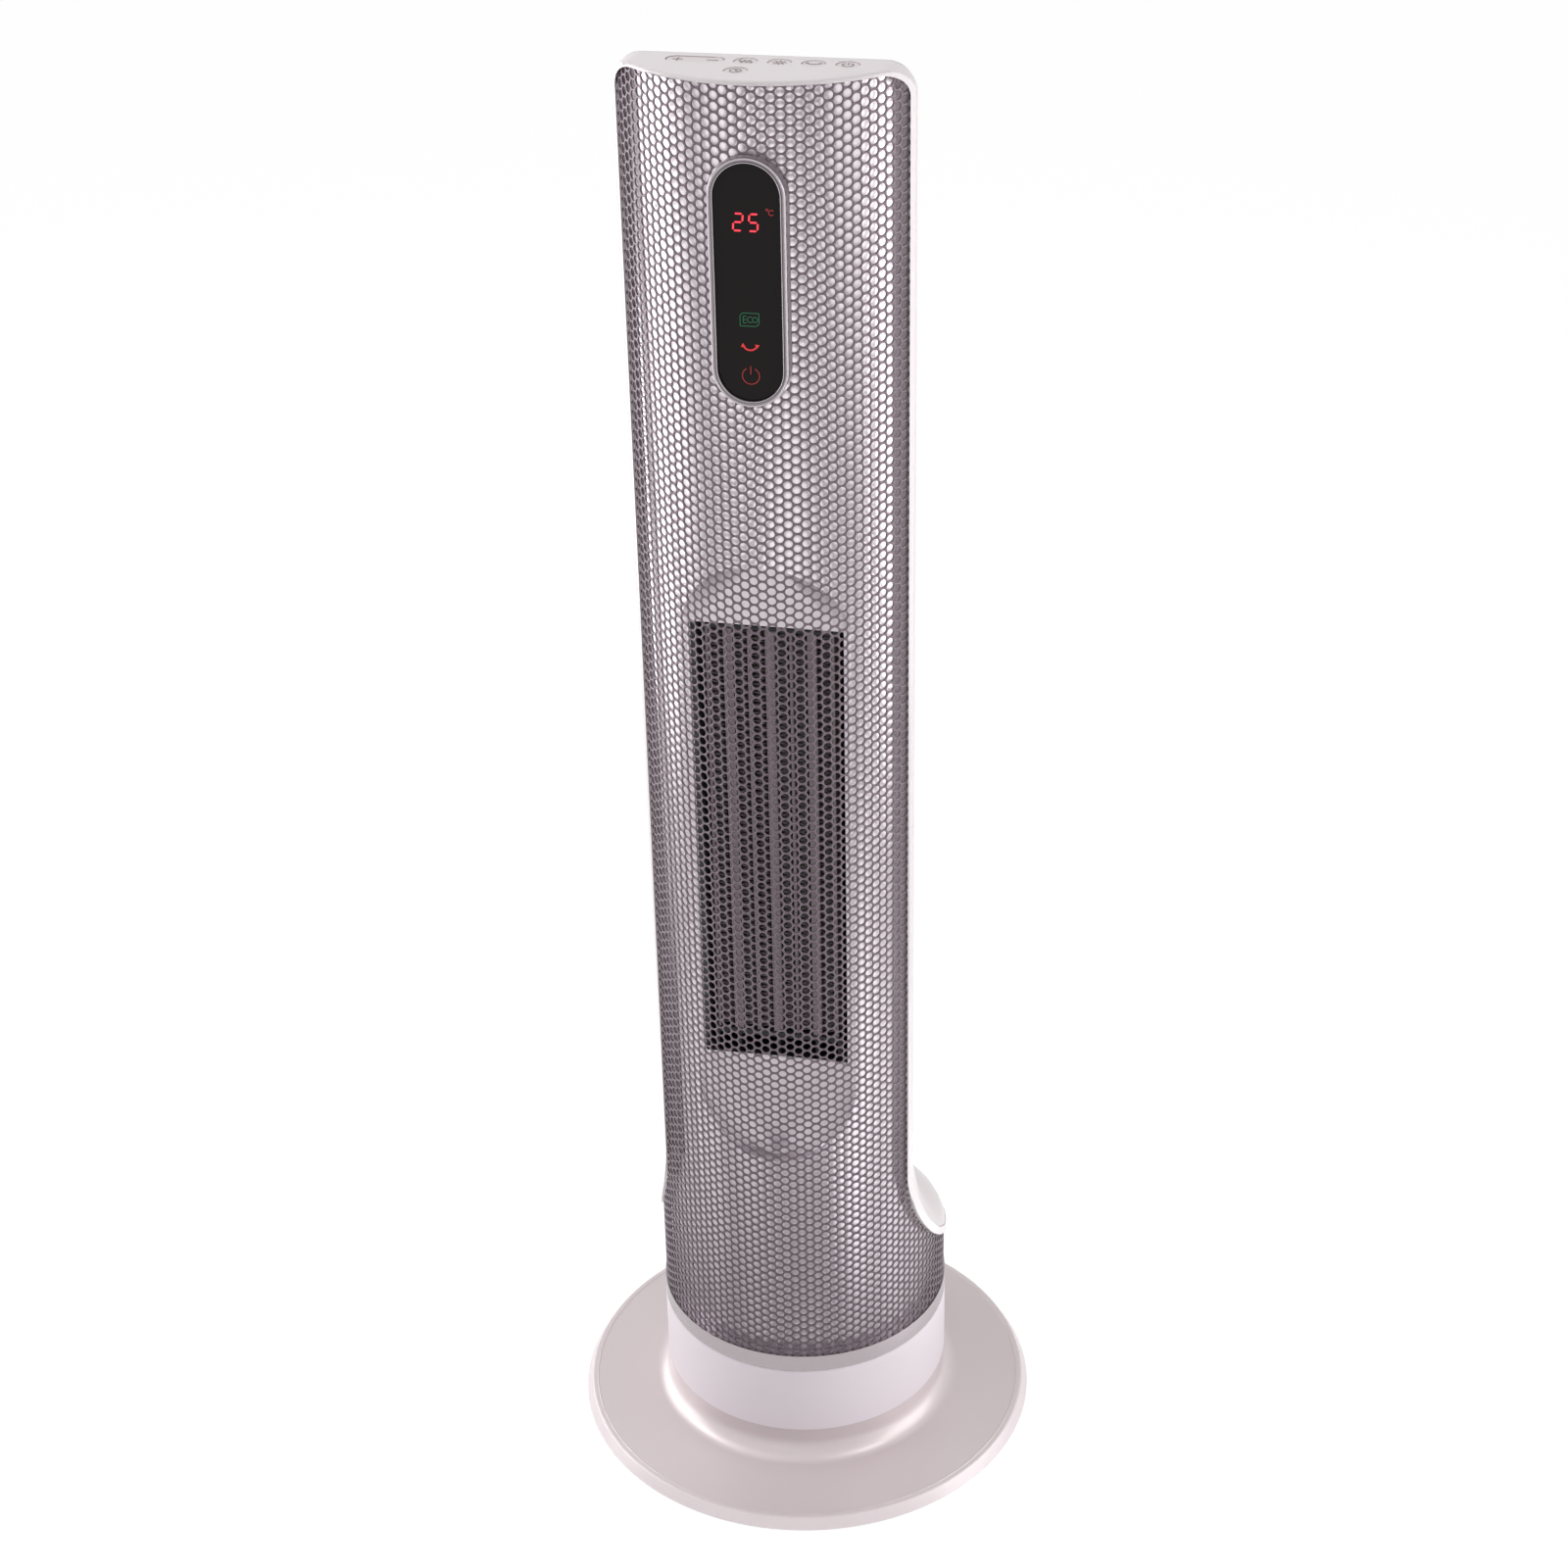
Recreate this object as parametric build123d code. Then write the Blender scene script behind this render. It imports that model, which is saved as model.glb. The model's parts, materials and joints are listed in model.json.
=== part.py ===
from build123d import *
import math
import os

# Everything is in millimetres. Z is up, the floor is Z = 0, the swing axis is the Z axis,
# and the front of the heater looks along -Y.

# Shared clearances
seam_gap = 0.3
running_gap = 0.08
swing_gap = 0.4
press_gap = 0.05
overrun = 2.0

# Overall heights and the drum
total_height = 800.0
neck_top = 29.0
collar_top = 72.8
band_height = 10.3
mesh_radius = 80.6
mesh_thickness = 1.0
frame_proud = 1.2
drum_step = 0.4

# Base plate
plate_radius = 131.0
plate_rim_bottom = 1.0
plate_rim_height = 5.8
plate_rim_slope = 3.5
plate_rim_round = 1.0
plate_rise = 3.2
plate_wall = 3.0
neck_round = 11.0
plate_rib_count = 12
plate_rib_thickness = 2.0
base_screw_count = 6
base_screw_inset = 9.5
base_screw_length = 9.0
base_boss_radius = 4.0
base_head_trim = 0.4
wire_hole_radius = 14.0

# Bottom cover and feet
cover_bottom = 2.4
cover_thickness = 1.6
cover_inset = 9.0
cover_vent_count = 12
cover_vent_circle = 30.0
cover_vent_radius = 2.5
foot_radius = 9.0
foot_round = 1.0
foot_count = 5
foot_inset = 19.0

# Collar
collar_proud = 0.1
collar_overhang = 2.0
collar_wall = 2.5
collar_flange_inner = 60.0
collar_flange_thickness = 2.7
collar_round = 0.8

# Cord gland in the back of the collar
gland_height = 46.0
gland_flange_radius = 9.0
gland_body_radius = 6.5
gland_bore_radius = 3.6
gland_flange_thickness = 3.0
gland_inner_length = 6.0
gland_round = 1.0

# Pivot post, slide ring and retaining ring
post_radius = 22.0
post_bore = 15.0
post_flange_radius = 56.0
post_flange_thickness = 4.0
post_step_radius = 27.0
post_rib_count = 6
post_rib_thickness = 2.4
hub_screw_circle = 50.0
hub_screw_count = 4
screw_radius = 1.9
screw_head_radius = 3.6
screw_head_height = 2.0
hub_screw_length = 6.0
retainer_screw_length = 9.0
motor_screw_length = 8.0
slide_ring_radius = 34.0
slide_ring_thickness = 2.5
retainer_radius = 29.0
retainer_thickness = 3.0
retainer_screw_count = 3

# Swing gear and pinion
gear_module = 1.25
gear_teeth = 48
pinion_teeth = 12
gear_bottom = 58.0
gear_width = 8.0
pinion_side_gap = 0.6
gear_window_count = 8
gear_window_circle = 25.4
gear_window_radius = 1.2
tip_share = 0.85
root_share = 1.15
tooth_tip_share = 0.10
tooth_root_share = 0.29
pinion_shaft_radius = 2.5

# Swing motor
motor_can_radius = 24.0
motor_can_height = 17.0
motor_can_round = 1.5
motor_ear_radius = 4.5
motor_ear_span = 29.0
motor_ear_thickness = 1.2
pinion_hole_gap = 2.5
pinion_shaft_length = 10.0

# Turntable
turntable_gap = 1.0
turntable_thickness = 3.0
turntable_inset = 1.8
turntable_wall = 3.8
hub_radius = 32.0
turntable_rib_count = 12
turntable_rib_height = 5.0
motor_lift = 0.8
turntable_rib_thickness = 2.0
turntable_lip_height = 5.0
turntable_lip_wall = 2.0
turntable_lip_gap = 0.4

# Front frame with its rim, scoop and top panel
front_half_width = 69.8
top_corner_radius = 14.0
rim_plane = -43.7
rim_depth = 4.5
mesh_edge_gap = 0.2
scoop_radius = 80.2
scoop_height = 190.0
flare_start = 196.0
flare_radius = 117.5
flare_reach = 16.0
leg_flat = 1.5
leg_round = 6.0
top_thickness = 2.1
top_edge_round = 1.1

# Rear shell
shell_wall = 2.5
side_taper = 11.4
back_plane = 38.0
back_corner_radius = 20.0
top_slope = 22.0
flare_bottom = 115.6
flare_sections = 24
blend_height = 28.0
blend_share = 2.0
drum_side_angle = 30.0
drum_corner_angle = 46.0
drum_back_angle = 62.0
column_spread = 46.0
column_low_gap = 37.0
column_middle_gap = 25.4
column_high_drop = 65.0
column_radius = 5.0
column_end = -50.0
column_floor = 3.0
rear_screw_radius = 1.6
rear_screw_length = 9.0

# Inner shell with its recess and outlet window
inner_radius = 75.4
inner_wall = 2.0
inner_top_gap = 1.5
recess_plane = -62.0
recess_half_width = 43.0
recess_bottom = 213.7
recess_drop = 84.9
window_half_width = 38.4
window_rise = 59.2
window_drop = 37.1
window_round = 1.0
display_hole_inset = 1.9

# Intake grille and dust filter
grille_half_width = 35.0
grille_low_margin = 3.0
grille_high_margin = 4.0
grille_round = 5.0
grille_thickness = 2.2
ledge_width = 3.0
ledge_thickness = 2.4
slot_height = 5.0
slot_pitch = 9.4
slot_width = 28.0
slot_gap = 6.0
filter_thickness = 1.8

# Air duct round the blower
duct_wall = 2.0
duct_plate = 3.0
duct_flange = 3.6
duct_flange_thickness = 3.0
duct_low_margin = 7.9
duct_high_margin = 8.5
rotor_center_y = 1.0
rotor_radius = 25.0
heater_back = -38.0
scroll_mid_gap = 8.0
scroll_mid_angle = 24.0
scroll_end_gap = 3.6
scroll_end_angle = 74.0
scroll_end_drop = 10.0
tongue_drop = 14.0
tongue_gap = 4.5
tongue_angle = 210.0

# Blower rotor, shaft and bush
rotor_end_gap = 3.0
rotor_disc = 1.6
rotor_disc_count = 5
blade_count = 24
blade_width = 5.0
blade_thickness = 0.9
blade_bow = 1.2
blade_edge = 0.4
rotor_hub_radius = 8.0
rotor_hub_height = 7.0
shaft_radius = 3.0
shaft_stub = 5.0
shaft_hole_gap = 1.0
pillar_sink = 2.0
bush_collar = 3.0
bush_radius = 8.0

# Blower motor
core_half_width = 31.0
core_half_depth = 24.0
core_height = 20.0
core_drop = 22.0
core_bore = 14.2
core_window = 7.0
motor_rotor_radius = 13.4
motor_rotor_height = 22.0
strap_thickness = 2.4
strap_half_depth = 8.0
strap_gap = 4.0
strap_boss_radius = 7.0
strap_boss_height = 6.0
pillar_radius = 3.0
pillar_spread = 26.0
coil_width = 16.0
coil_leg = 4.0
coil_build = 3.5
coil_round = 1.5
shaft_below = 4.0

# Heating element
heater_front = -56.0
heater_low_gap = 12.1
heater_high_gap = 5.5
bar_pitch = 10.6
bar_width = 4.6
plate_width = 1.4
column_count = 6
fin_pitch = 7.9
fin_thickness = 1.3
fin_margin = 1.5
bracket_depth_gap = 0.6
bracket_rib = 2.0
bracket_lip = 3.0

# Thermal cut-out and fuse
cutout_radius = 8.0
cutout_height = 5.0
cutout_x = 25.0
cutout_y = -48.0
cutout_tab = 6.0
cutout_tab_thickness = 0.8
fuse_radius = 2.0
fuse_length = 12.0
fuse_lead = 0.6

# Display
display_half_width = 17.9
display_drop = 33.8
display_length = 116.7
display_face = -82.3
display_gap = 0.9
bezel_width = 2.4
bezel_round = 0.9
lens_depth = 1.2
display_inner_depth = 70.0
display_seat = 0.15
lens_thickness = 1.5
module_thickness = 1.2
display_board_thickness = 1.2
module_half_width = 9.0
board_thickness = 1.6

# Top panel keys
key_radius = 5.25
key_gap = 0.3
key_row_y = -49.0
key_row_start = -6.1
key_pitch = 15.4
timer_x = -7.2
timer_y = -64.8
key_sink = 0.3
key_round = 0.35
key_skirt = 1.1
key_skirt_height = 1.2
key_stem_radius = 2.0
key_travel = 0.9
key_stem_gap = 0.2
rocker_left = -42.4
rocker_right = -16.0
rocker_half_depth = 4.5
rocker_gap = 0.5
rocker_axis_drop = 5.0
rocker_height = 6.2
rocker_pin_radius = 1.2
rocker_pin_length = 2.6
rocker_width_limit = 9.0
rocker_stub_spread = 8.5
lug_thickness = 2.0
lug_half_width = 3.2
tact_half_width = 3.0
tact_height = 3.2
tact_button_radius = 1.6
tact_button_height = 0.9
key_board_drop = 14.0
key_board_half_width = 51.0
key_board_back = -41.0
key_board_round_gap = 3.0
key_boss_radius = 2.6
board_bosses = ((-49.3, -45.0), (49.3, -45.0), (20.0, -62.0))
board_screw_radius = 1.2
board_screw_head = 2.2
board_screw_length = 6.0

# Main board
board_y = -50.0
board_half_width = 39.0
board_gap = 9.4
board_height = 66.0
board_post_radius = 3.2
board_post_inset = 5.0
relay_width = 19.0
relay_height = 15.0
relay_depth = 15.0
relay_count = 3
transformer_width = 28.0
transformer_height = 24.0
transformer_depth = 22.0
transformer_core = 8.0
part_spacing = 3.0
terminal_width = 40.0
terminal_height = 9.0
terminal_depth = 10.0
terminal_count = 4

# Main switch on the back of the drum
switch_height = 102.7
switch_half_width = 10.5
switch_half_height = 12.5
switch_bezel = 1.8
switch_front = 82.8
switch_bezel_depth = 4.0
switch_depth = 18.0
switch_wall = 1.6
switch_rocker_gap = 0.7
switch_rocker_bow = 1.4
switch_rocker_depth = 7.0
switch_pin_radius = 1.5
switch_tilt = 8.0
switch_pin_reach = 1.2
switch_axis_depth = 5.5
switch_rocker_trim = 1.3

# Tip-over switch in the base
tip_y = 46.0
tip_half_width = 8.0
tip_half_depth = 6.0
tip_height = 16.0
tip_wall = 1.6
plunger_radius = 2.6
plunger_floor_gap = 0.3
plunger_gap = 0.25
plunger_flange_radius = 4.0
plunger_flange_height = 1.6
plunger_travel = 3.0

# Values that follow from the ones above
frame_radius = mesh_radius + frame_proud
drum_radius = frame_radius - drum_step
collar_radius = drum_radius + collar_proud
neck_radius = collar_radius - collar_overhang
band_bottom = collar_top + swing_gap
band_top = band_bottom + band_height
tower_bottom = band_top + seam_gap
gear_top = gear_bottom + gear_width
slide_top = gear_top + slide_ring_thickness
gear_pitch_radius = gear_module * gear_teeth / 2
pinion_pitch_radius = gear_module * pinion_teeth / 2
pinion_distance = gear_pitch_radius + pinion_pitch_radius
turntable_bottom = band_bottom + turntable_gap
turntable_top = turntable_bottom + turntable_thickness
retainer_bottom = band_top - seam_gap
scoop_center = rim_plane + scoop_radius
plate_under = total_height - top_thickness
mesh_top = plate_under - seam_gap
display_top = total_height - display_drop
display_bottom = display_top - display_length
recess_top = display_bottom - recess_drop
window_bottom = recess_bottom + window_rise
window_top = recess_top - window_drop
duct_bottom = window_bottom - duct_low_margin
duct_top = window_top + duct_high_margin
grille_bottom = duct_bottom - grille_low_margin
grille_top = duct_top + grille_high_margin
heater_bottom = window_bottom + heater_low_gap
heater_top = window_top - heater_high_gap
rotor_bottom = duct_bottom + duct_plate + rotor_end_gap
rotor_top = duct_top - duct_plate - 2 * rotor_end_gap
rotor_length = rotor_top - rotor_bottom
core_top = duct_bottom - core_drop
column_heights = (
    duct_bottom - column_low_gap, recess_top + column_middle_gap, total_height - column_high_drop
)
board_bottom = recess_top + board_gap
board_top = board_bottom + board_height
cover_radius = plate_radius - cover_inset
foot_circle = plate_radius - foot_inset
base_screw_circle = neck_radius - base_screw_inset
key_top = total_height - key_sink
key_board_top = total_height - key_board_drop
parting = rim_plane + rim_depth + seam_gap
cover_top = cover_bottom + cover_thickness


def disc(radius, bottom, top, x=0, y=0):
    return Pos(x, y, bottom) * Cylinder(radius, top - bottom, align=(Align.CENTER, Align.CENTER, Align.MIN))


def ring(outer, inner, bottom, top, x=0, y=0):
    return disc(outer, bottom, top, x, y) - disc(inner, bottom - overrun, top + overrun, x, y)


def block(x0, x1, y0, y1, z0, z1):
    return Pos(x0, y0, z0) * Box(x1 - x0, y1 - y0, z1 - z0, align=(Align.MIN, Align.MIN, Align.MIN))


def rod_y(radius, x, z, y0, y1):
    place = Pos(x, y0, z) * Rot(-90, 0, 0)
    return place * Cylinder(radius, y1 - y0, align=(Align.CENTER, Align.CENTER, Align.MIN))


def rod_x(radius, y, z, x0, x1):
    place = Pos(x0, y, z) * Rot(0, 90, 0)
    return place * Cylinder(radius, x1 - x0, align=(Align.CENTER, Align.CENTER, Align.MIN))


def around(count, radius, start=0.0):
    steps = [math.radians(start + 360.0 * i / count) for i in range(count)]
    return [(radius * math.cos(a), radius * math.sin(a)) for a in steps]


def stadium_y(half_width, bottom, top, y0, y1):
    # An upright slot shape in the front view, from depth y0 to depth y1
    middle = (bottom + top) / 2
    face = Plane.XZ.offset(-y1) * (Pos(0, middle) * SlotOverall(top - bottom, 2 * half_width, rotation=90))
    return extrude(face, amount=y1 - y0)


def front_region(depth):
    # Everything in front of the line where mesh and rear housing meet, moved back by depth
    far = plate_radius
    low = neck_top
    high = total_height + plate_radius
    reach = scoop_radius - depth
    foot_z = scoop_height - reach
    flat_end = scoop_center + leg_flat
    corner = leg_round + depth
    lines = [
        Line((-far, low), (-far, high)),
        Line((-far, high), (scoop_center - reach, high)),
        Line((scoop_center - reach, high), (scoop_center - reach, scoop_height)),
        RadiusArc((scoop_center - reach, scoop_height), (scoop_center, foot_z), -reach),
        Line((scoop_center, foot_z), (flat_end, foot_z)),
        RadiusArc((flat_end, foot_z), (flat_end + corner, foot_z - corner), corner),
        Line((flat_end + corner, foot_z - corner), (flat_end + corner, low)),
        Line((flat_end + corner, low), (-far, low)),
    ]
    return extrude(Plane.YZ * make_face(Wire(lines)), amount=far, both=True)


def front_outline(inset=0):
    # Front view of the frame: rounded top corners, straight sides and the flare to the drum
    side = front_half_width - inset
    wide = side + flare_reach
    drop = math.sqrt(2 * flare_reach * flare_radius - flare_reach * flare_reach)
    corner = top_corner_radius - inset
    crown = total_height - inset
    lines = [
        Line((side - corner, crown), (corner - side, crown)),
        Line((-wide, tower_bottom), (wide, tower_bottom)),
    ]
    for flip in (-1, 1):
        lines += [
            Line((flip * wide, tower_bottom), (flip * wide, flare_start - drop)),
            RadiusArc((flip * wide, flare_start - drop), (flip * side, flare_start), flip * flare_radius),
            Line((flip * side, flare_start), (flip * side, crown - corner)),
            RadiusArc((flip * side, crown - corner), (flip * (side - corner), crown), -flip * corner),
        ]
    return extrude(Plane.XZ * make_face(Wire(lines)), amount=plate_radius, both=True)


def housing_edge(inset):
    return front_half_width - drum_step - inset / math.cos(math.radians(side_taper))


def tower_points(inset, front_x, front_y):
    # Plan of the rear housing: side line, rounded corner and flat back, moved in by inset
    slant = math.radians(side_taper)
    back = back_plane - inset
    corner = back_corner_radius - inset
    base_x = housing_edge(inset)
    edge_x = base_x - (back - parting + seam_gap) * math.tan(slant)
    turn = math.radians(90 - side_taper) / 2
    length = corner * math.tan(turn)
    side_end = (edge_x + length * math.sin(slant), back - length * math.cos(slant))
    back_end = (edge_x - length, back)
    bow = math.radians(90 + side_taper) / 2
    corner_mid = (back_end[0] + corner * math.cos(bow), back - corner + corner * math.sin(bow))
    side_mid = ((front_x + side_end[0]) / 2, (front_y + side_end[1]) / 2)
    return side_mid, side_end, corner_mid, back_end, (0, back)


def drum_points(inset, front_x, front_y):
    radius = drum_radius - inset
    first = math.degrees(math.atan2(front_y, front_x))
    angles = ((first + drum_side_angle) / 2, drum_side_angle, drum_corner_angle, drum_back_angle, 90.0)
    return [(radius * math.cos(math.radians(a)), radius * math.sin(math.radians(a))) for a in angles]


def section_face(height, inset, weight):
    # One horizontal section of the rear housing, between the tower plan and the drum circle
    radius = drum_radius - inset
    reach = scoop_radius - rim_depth
    if height >= scoop_height:
        front_y = parting - seam_gap
    else:
        front_y = scoop_center - math.sqrt(reach * reach - (scoop_height - height) ** 2)
    widening = 0
    if height < flare_start:
        fall = min(flare_start - height, flare_radius)
        widening = flare_radius - math.sqrt(flare_radius ** 2 - fall ** 2)
    on_circle = math.sqrt(radius ** 2 - front_y ** 2)
    front_x = min(housing_edge(inset) + widening, on_circle)
    tower = tower_points(inset, front_x, front_y)
    drum = drum_points(inset, front_x, front_y)
    mixed = [
        ((1 - weight) * t[0] + weight * d[0], (1 - weight) * t[1] + weight * d[1])
        for t, d in zip(tower, drum)
    ]
    side_mid, side_end, corner_mid, back_end, back_mid = mixed
    front = (front_x, front_y)
    flip = [(-p[0], p[1]) for p in (front, side_mid, side_end, corner_mid, back_end)]
    if weight > 0:
        side = ThreePointArc(front, side_mid, side_end)
        back = ThreePointArc(back_end, back_mid, flip[4])
        other = ThreePointArc(flip[2], flip[1], flip[0])
    else:
        side = Line(front, side_end)
        back = Line(back_end, flip[4])
        other = Line(flip[2], flip[0])
    lines = [
        side,
        ThreePointArc(side_end, corner_mid, back_end),
        back,
        ThreePointArc(flip[4], flip[3], flip[2]),
        other,
        Line(flip[0], front),
    ]
    return Pos(0, 0, height) * make_face(Wire(lines))


def rear_form(inset):
    # The rear housing as one closed form, moved in by inset to make its hollow
    step = (flare_start - flare_bottom) / flare_sections
    faces = []
    for i in range(flare_sections + 1):
        turn = math.pi * min(i * step / blend_height, 1)
        faces.append(section_face(flare_bottom + i * step, inset, ((1 + math.cos(turn)) / 2) ** blend_share))
    flare = loft(faces, ruled=True)
    upper = extrude(section_face(flare_start, inset, 0), amount=total_height - flare_start + overrun)
    slant = math.radians(top_slope)
    start = total_height - inset / math.cos(slant)
    far = plate_radius
    slope_line = Polyline(
        (parting - far, start + far * math.tan(slant)),
        (parting + far, start - far * math.tan(slant)),
        (parting + far, total_height + far),
        close=True,
    )
    upper = upper - extrude(Plane.YZ * make_face(slope_line), amount=far, both=True)
    top_face = upper.faces().sort_by(Axis.Z)[-1]
    rim_edges = top_face.edges().filter_by(lambda e: e.center().Y > parting)
    upper = fillet(rim_edges, top_corner_radius - inset)
    low = tower_bottom - (overrun if inset > 0 else 0)
    drum = disc(drum_radius - inset, low, flare_bottom)
    return upper + flare + drum


def export(name, shape):
    shape.label = name
    export_step(shape, "parts/" + name + ".step")


def group(shapes):
    return Compound(
        children=[Part(shape.wrapped) if not isinstance(shape, Part) else shape for shape in shapes]
    )


def screw_up(x, y, base, length, hole=0):
    # Head below the seat at base, thread upwards
    head = disc(screw_head_radius - hole, base - screw_head_height, base, x, y)
    return head + disc(screw_radius, base - press_gap, base + length, x, y)


def screw_down(x, y, base, length):
    # Head above the seat at base, thread downwards
    head = disc(screw_head_radius, base, base + screw_head_height, x, y)
    return head + disc(screw_radius, base - length, base + press_gap, x, y)


# Base plate: sloped rim, gently rising top, concave neck and a flat deck
def plate_profile(wall):
    rim = (plate_radius - plate_rim_slope - wall / 2, plate_rim_bottom + plate_rim_height - wall)
    center = (neck_radius + neck_round, plate_rim_bottom + plate_rim_height + plate_rise + neck_round)
    bend = neck_round + wall
    away = math.hypot(rim[0] - center[0], rim[1] - center[1])
    turn = math.atan2(rim[1] - center[1], rim[0] - center[0]) - math.acos(bend / away)
    touch = (center[0] + bend * math.cos(turn), center[1] + bend * math.sin(turn))
    half = (3 * math.pi + turn) / 2
    middle = (center[0] + bend * math.cos(half), center[1] + bend * math.sin(half))
    low = plate_rim_bottom - (overrun if wall > 0 else 0)
    lines = [
        Line((0, low), (plate_radius - wall, low)),
        Line((plate_radius - wall, low), rim),
        Line(rim, touch),
        ThreePointArc(touch, middle, (center[0] - bend, center[1])),
        Line((center[0] - bend, center[1]), (center[0] - bend, neck_top - wall)),
        Line((center[0] - bend, neck_top - wall), (0, neck_top - wall)),
        Line((0, neck_top - wall), (0, low)),
    ]
    return revolve(Plane.XZ * make_face(Wire(lines)), Axis.Z)


def make_base():
    solid = plate_profile(0)
    rim_height = plate_rim_bottom + plate_rim_height
    rim_edges = solid.edges().filter_by(
        lambda e: abs(e.center().Z - rim_height) < seam_gap and e.length > plate_radius
    )
    solid = fillet(rim_edges, plate_rim_round)
    hollow = plate_profile(plate_wall)
    ribs = []
    start = 180.0 / plate_rib_count
    for x, y in around(plate_rib_count, 1, start):
        turn = Rot(0, 0, math.degrees(math.atan2(y, x)))
        width = plate_rib_thickness / 2
        ribs.append(
            turn * block(
                wire_hole_radius + foot_radius, foot_circle + foot_radius, -width, width,
                cover_top + seam_gap, neck_top - press_gap
            )
        )
    for x, y in around(base_screw_count, base_screw_circle):
        ribs.append(disc(base_boss_radius, cover_top + seam_gap, neck_top, x, y))
    body = solid - hollow + (Part() + ribs & hollow)
    body = body - disc(wire_hole_radius, 0, neck_top + overrun)
    for x, y in around(base_screw_count, base_screw_circle):
        body = body - disc(screw_radius + press_gap, 0, cover_top + base_screw_length, x, y)
    for x, y in around(hub_screw_count, hub_screw_circle, 45.0):
        body = body - disc(
            screw_radius + press_gap, neck_top - plate_wall - overrun, neck_top + overrun, x, y
        )
    export("base_plate", body)

    cover = disc(cover_radius, cover_bottom, cover_top) - disc(
        plunger_radius + plunger_gap, 0, neck_top, 0, tip_y
    )
    for x, y in around(base_screw_count, base_screw_circle):
        cover = cover - disc(screw_radius + press_gap, 0, neck_top, x, y)
    for x, y in around(cover_vent_count, cover_vent_circle, 15.0):
        cover = cover - disc(cover_vent_radius, 0, neck_top, x, y)
    export("base_cover", cover)
    feet = []
    for x, y in around(foot_count, foot_circle, 90.0):
        foot = disc(foot_radius, 0, cover_bottom - press_gap, x, y)
        feet.append(chamfer(foot.edges().group_by(Axis.Z)[0], foot_round))
    export("rubber_feet", group(feet))
    screws = [
        screw_up(x, y, cover_bottom, base_screw_length, base_head_trim)
        for x, y in around(base_screw_count, base_screw_circle)
    ]
    export("base_screws", group(screws))

    wall = ring(collar_radius, collar_radius - collar_wall, neck_top + seam_gap, collar_top)
    wall = chamfer(
        wall.edges().filter_by(lambda e: e.length > 2 * math.pi * collar_radius - overrun), collar_round
    )
    flange = ring(
        collar_radius - collar_wall / 2, collar_flange_inner, neck_top + seam_gap,
        neck_top + seam_gap + collar_flange_thickness
    )
    hole = rod_y(gland_body_radius + seam_gap, 0, gland_height, 0, plate_radius)
    export("collar", wall + flange - hole)
    back = collar_radius + gland_flange_thickness
    gland = rod_y(gland_flange_radius, 0, gland_height, collar_radius - gland_flange_thickness, back)
    gland = fillet(
        gland.edges().group_by(Axis.Y)[-1], gland_round
    ) - disc(collar_radius + press_gap, 0, total_height)
    gland = gland + rod_y(
        gland_body_radius, 0, gland_height, collar_radius - collar_wall - gland_inner_length,
        back - gland_round
    )
    export("cord_gland", gland - rod_y(gland_bore_radius, 0, gland_height, 0, plate_radius))


# Pivot post with the fixed gear, the slide ring and the ring that keeps the tower down
def gear_form(teeth, bottom, top, start):
    pitch = gear_module * teeth / 2
    tip = pitch + gear_module * tip_share
    root = pitch - gear_module * root_share
    step = 360.0 / teeth
    points = []
    for i in range(teeth):
        for radius, share in (
            (root, -tooth_root_share), (tip, -tooth_tip_share), (tip, tooth_tip_share),
            (root, tooth_root_share)
        ):
            width = share * math.pi * gear_module
            angle = math.radians(start + i * step) + width / radius
            points.append((radius * math.cos(angle), radius * math.sin(angle)))
    return Pos(0, 0, bottom) * extrude(make_face(Polyline(*points, close=True)), amount=top - bottom)


def make_pivot():
    flange_top = neck_top + seam_gap + post_flange_thickness
    post = disc(
        post_flange_radius, neck_top + seam_gap, flange_top
    ) + disc(post_step_radius, neck_top + seam_gap, gear_bottom)
    post = post + disc(post_radius, neck_top + seam_gap, retainer_bottom)
    rib_reach = hub_screw_circle - screw_head_radius - seam_gap
    for x, y in around(post_rib_count, 1, 15.0):
        rib = make_face(
            Polyline(
                (0, flange_top - overrun), (rib_reach, flange_top - overrun),
                (post_step_radius, gear_bottom - overrun), (0, gear_bottom - overrun), close=True
            )
        )
        rib = extrude(Plane.XZ * rib, amount=post_rib_thickness / 2, both=True)
        post = post + Rot(0, 0, math.degrees(math.atan2(y, x))) * rib
    post = post - disc(post_bore, 0, total_height)
    for x, y in around(hub_screw_count, hub_screw_circle, 45.0):
        post = post - disc(screw_radius + press_gap, 0, flange_top + overrun, x, y)
    ring_circle = (post_radius + post_bore) / 2
    for x, y in around(retainer_screw_count, ring_circle, 90.0):
        post = post - disc(
            screw_radius + press_gap, retainer_bottom - retainer_screw_length, total_height, x, y
        )
    export("pivot_post", post)
    gear = gear_form(gear_teeth, gear_bottom + press_gap, gear_top, 180.0)
    for x, y in around(gear_window_count, gear_window_circle):
        gear = gear - disc(gear_window_radius, 0, total_height, x, y)
    export("swing_gear", gear - disc(post_radius + press_gap, 0, total_height))
    export("slide_ring", ring(slide_ring_radius, post_radius + press_gap, gear_top + press_gap, slide_top))
    retainer = ring(
        retainer_radius, post_bore, retainer_bottom + press_gap, retainer_bottom + retainer_thickness
    )
    screws = []
    for x, y in around(retainer_screw_count, ring_circle, 90.0):
        retainer = retainer - disc(screw_radius + press_gap, 0, total_height, x, y)
        screws.append(
            screw_down(x, y, retainer_bottom + retainer_thickness + press_gap, retainer_screw_length)
        )
    for x, y in around(hub_screw_count, hub_screw_circle, 45.0):
        screws.append(screw_down(x, y, flange_top + press_gap, hub_screw_length))
    export("retaining_ring", retainer)
    export("post_screws", group(screws))


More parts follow.
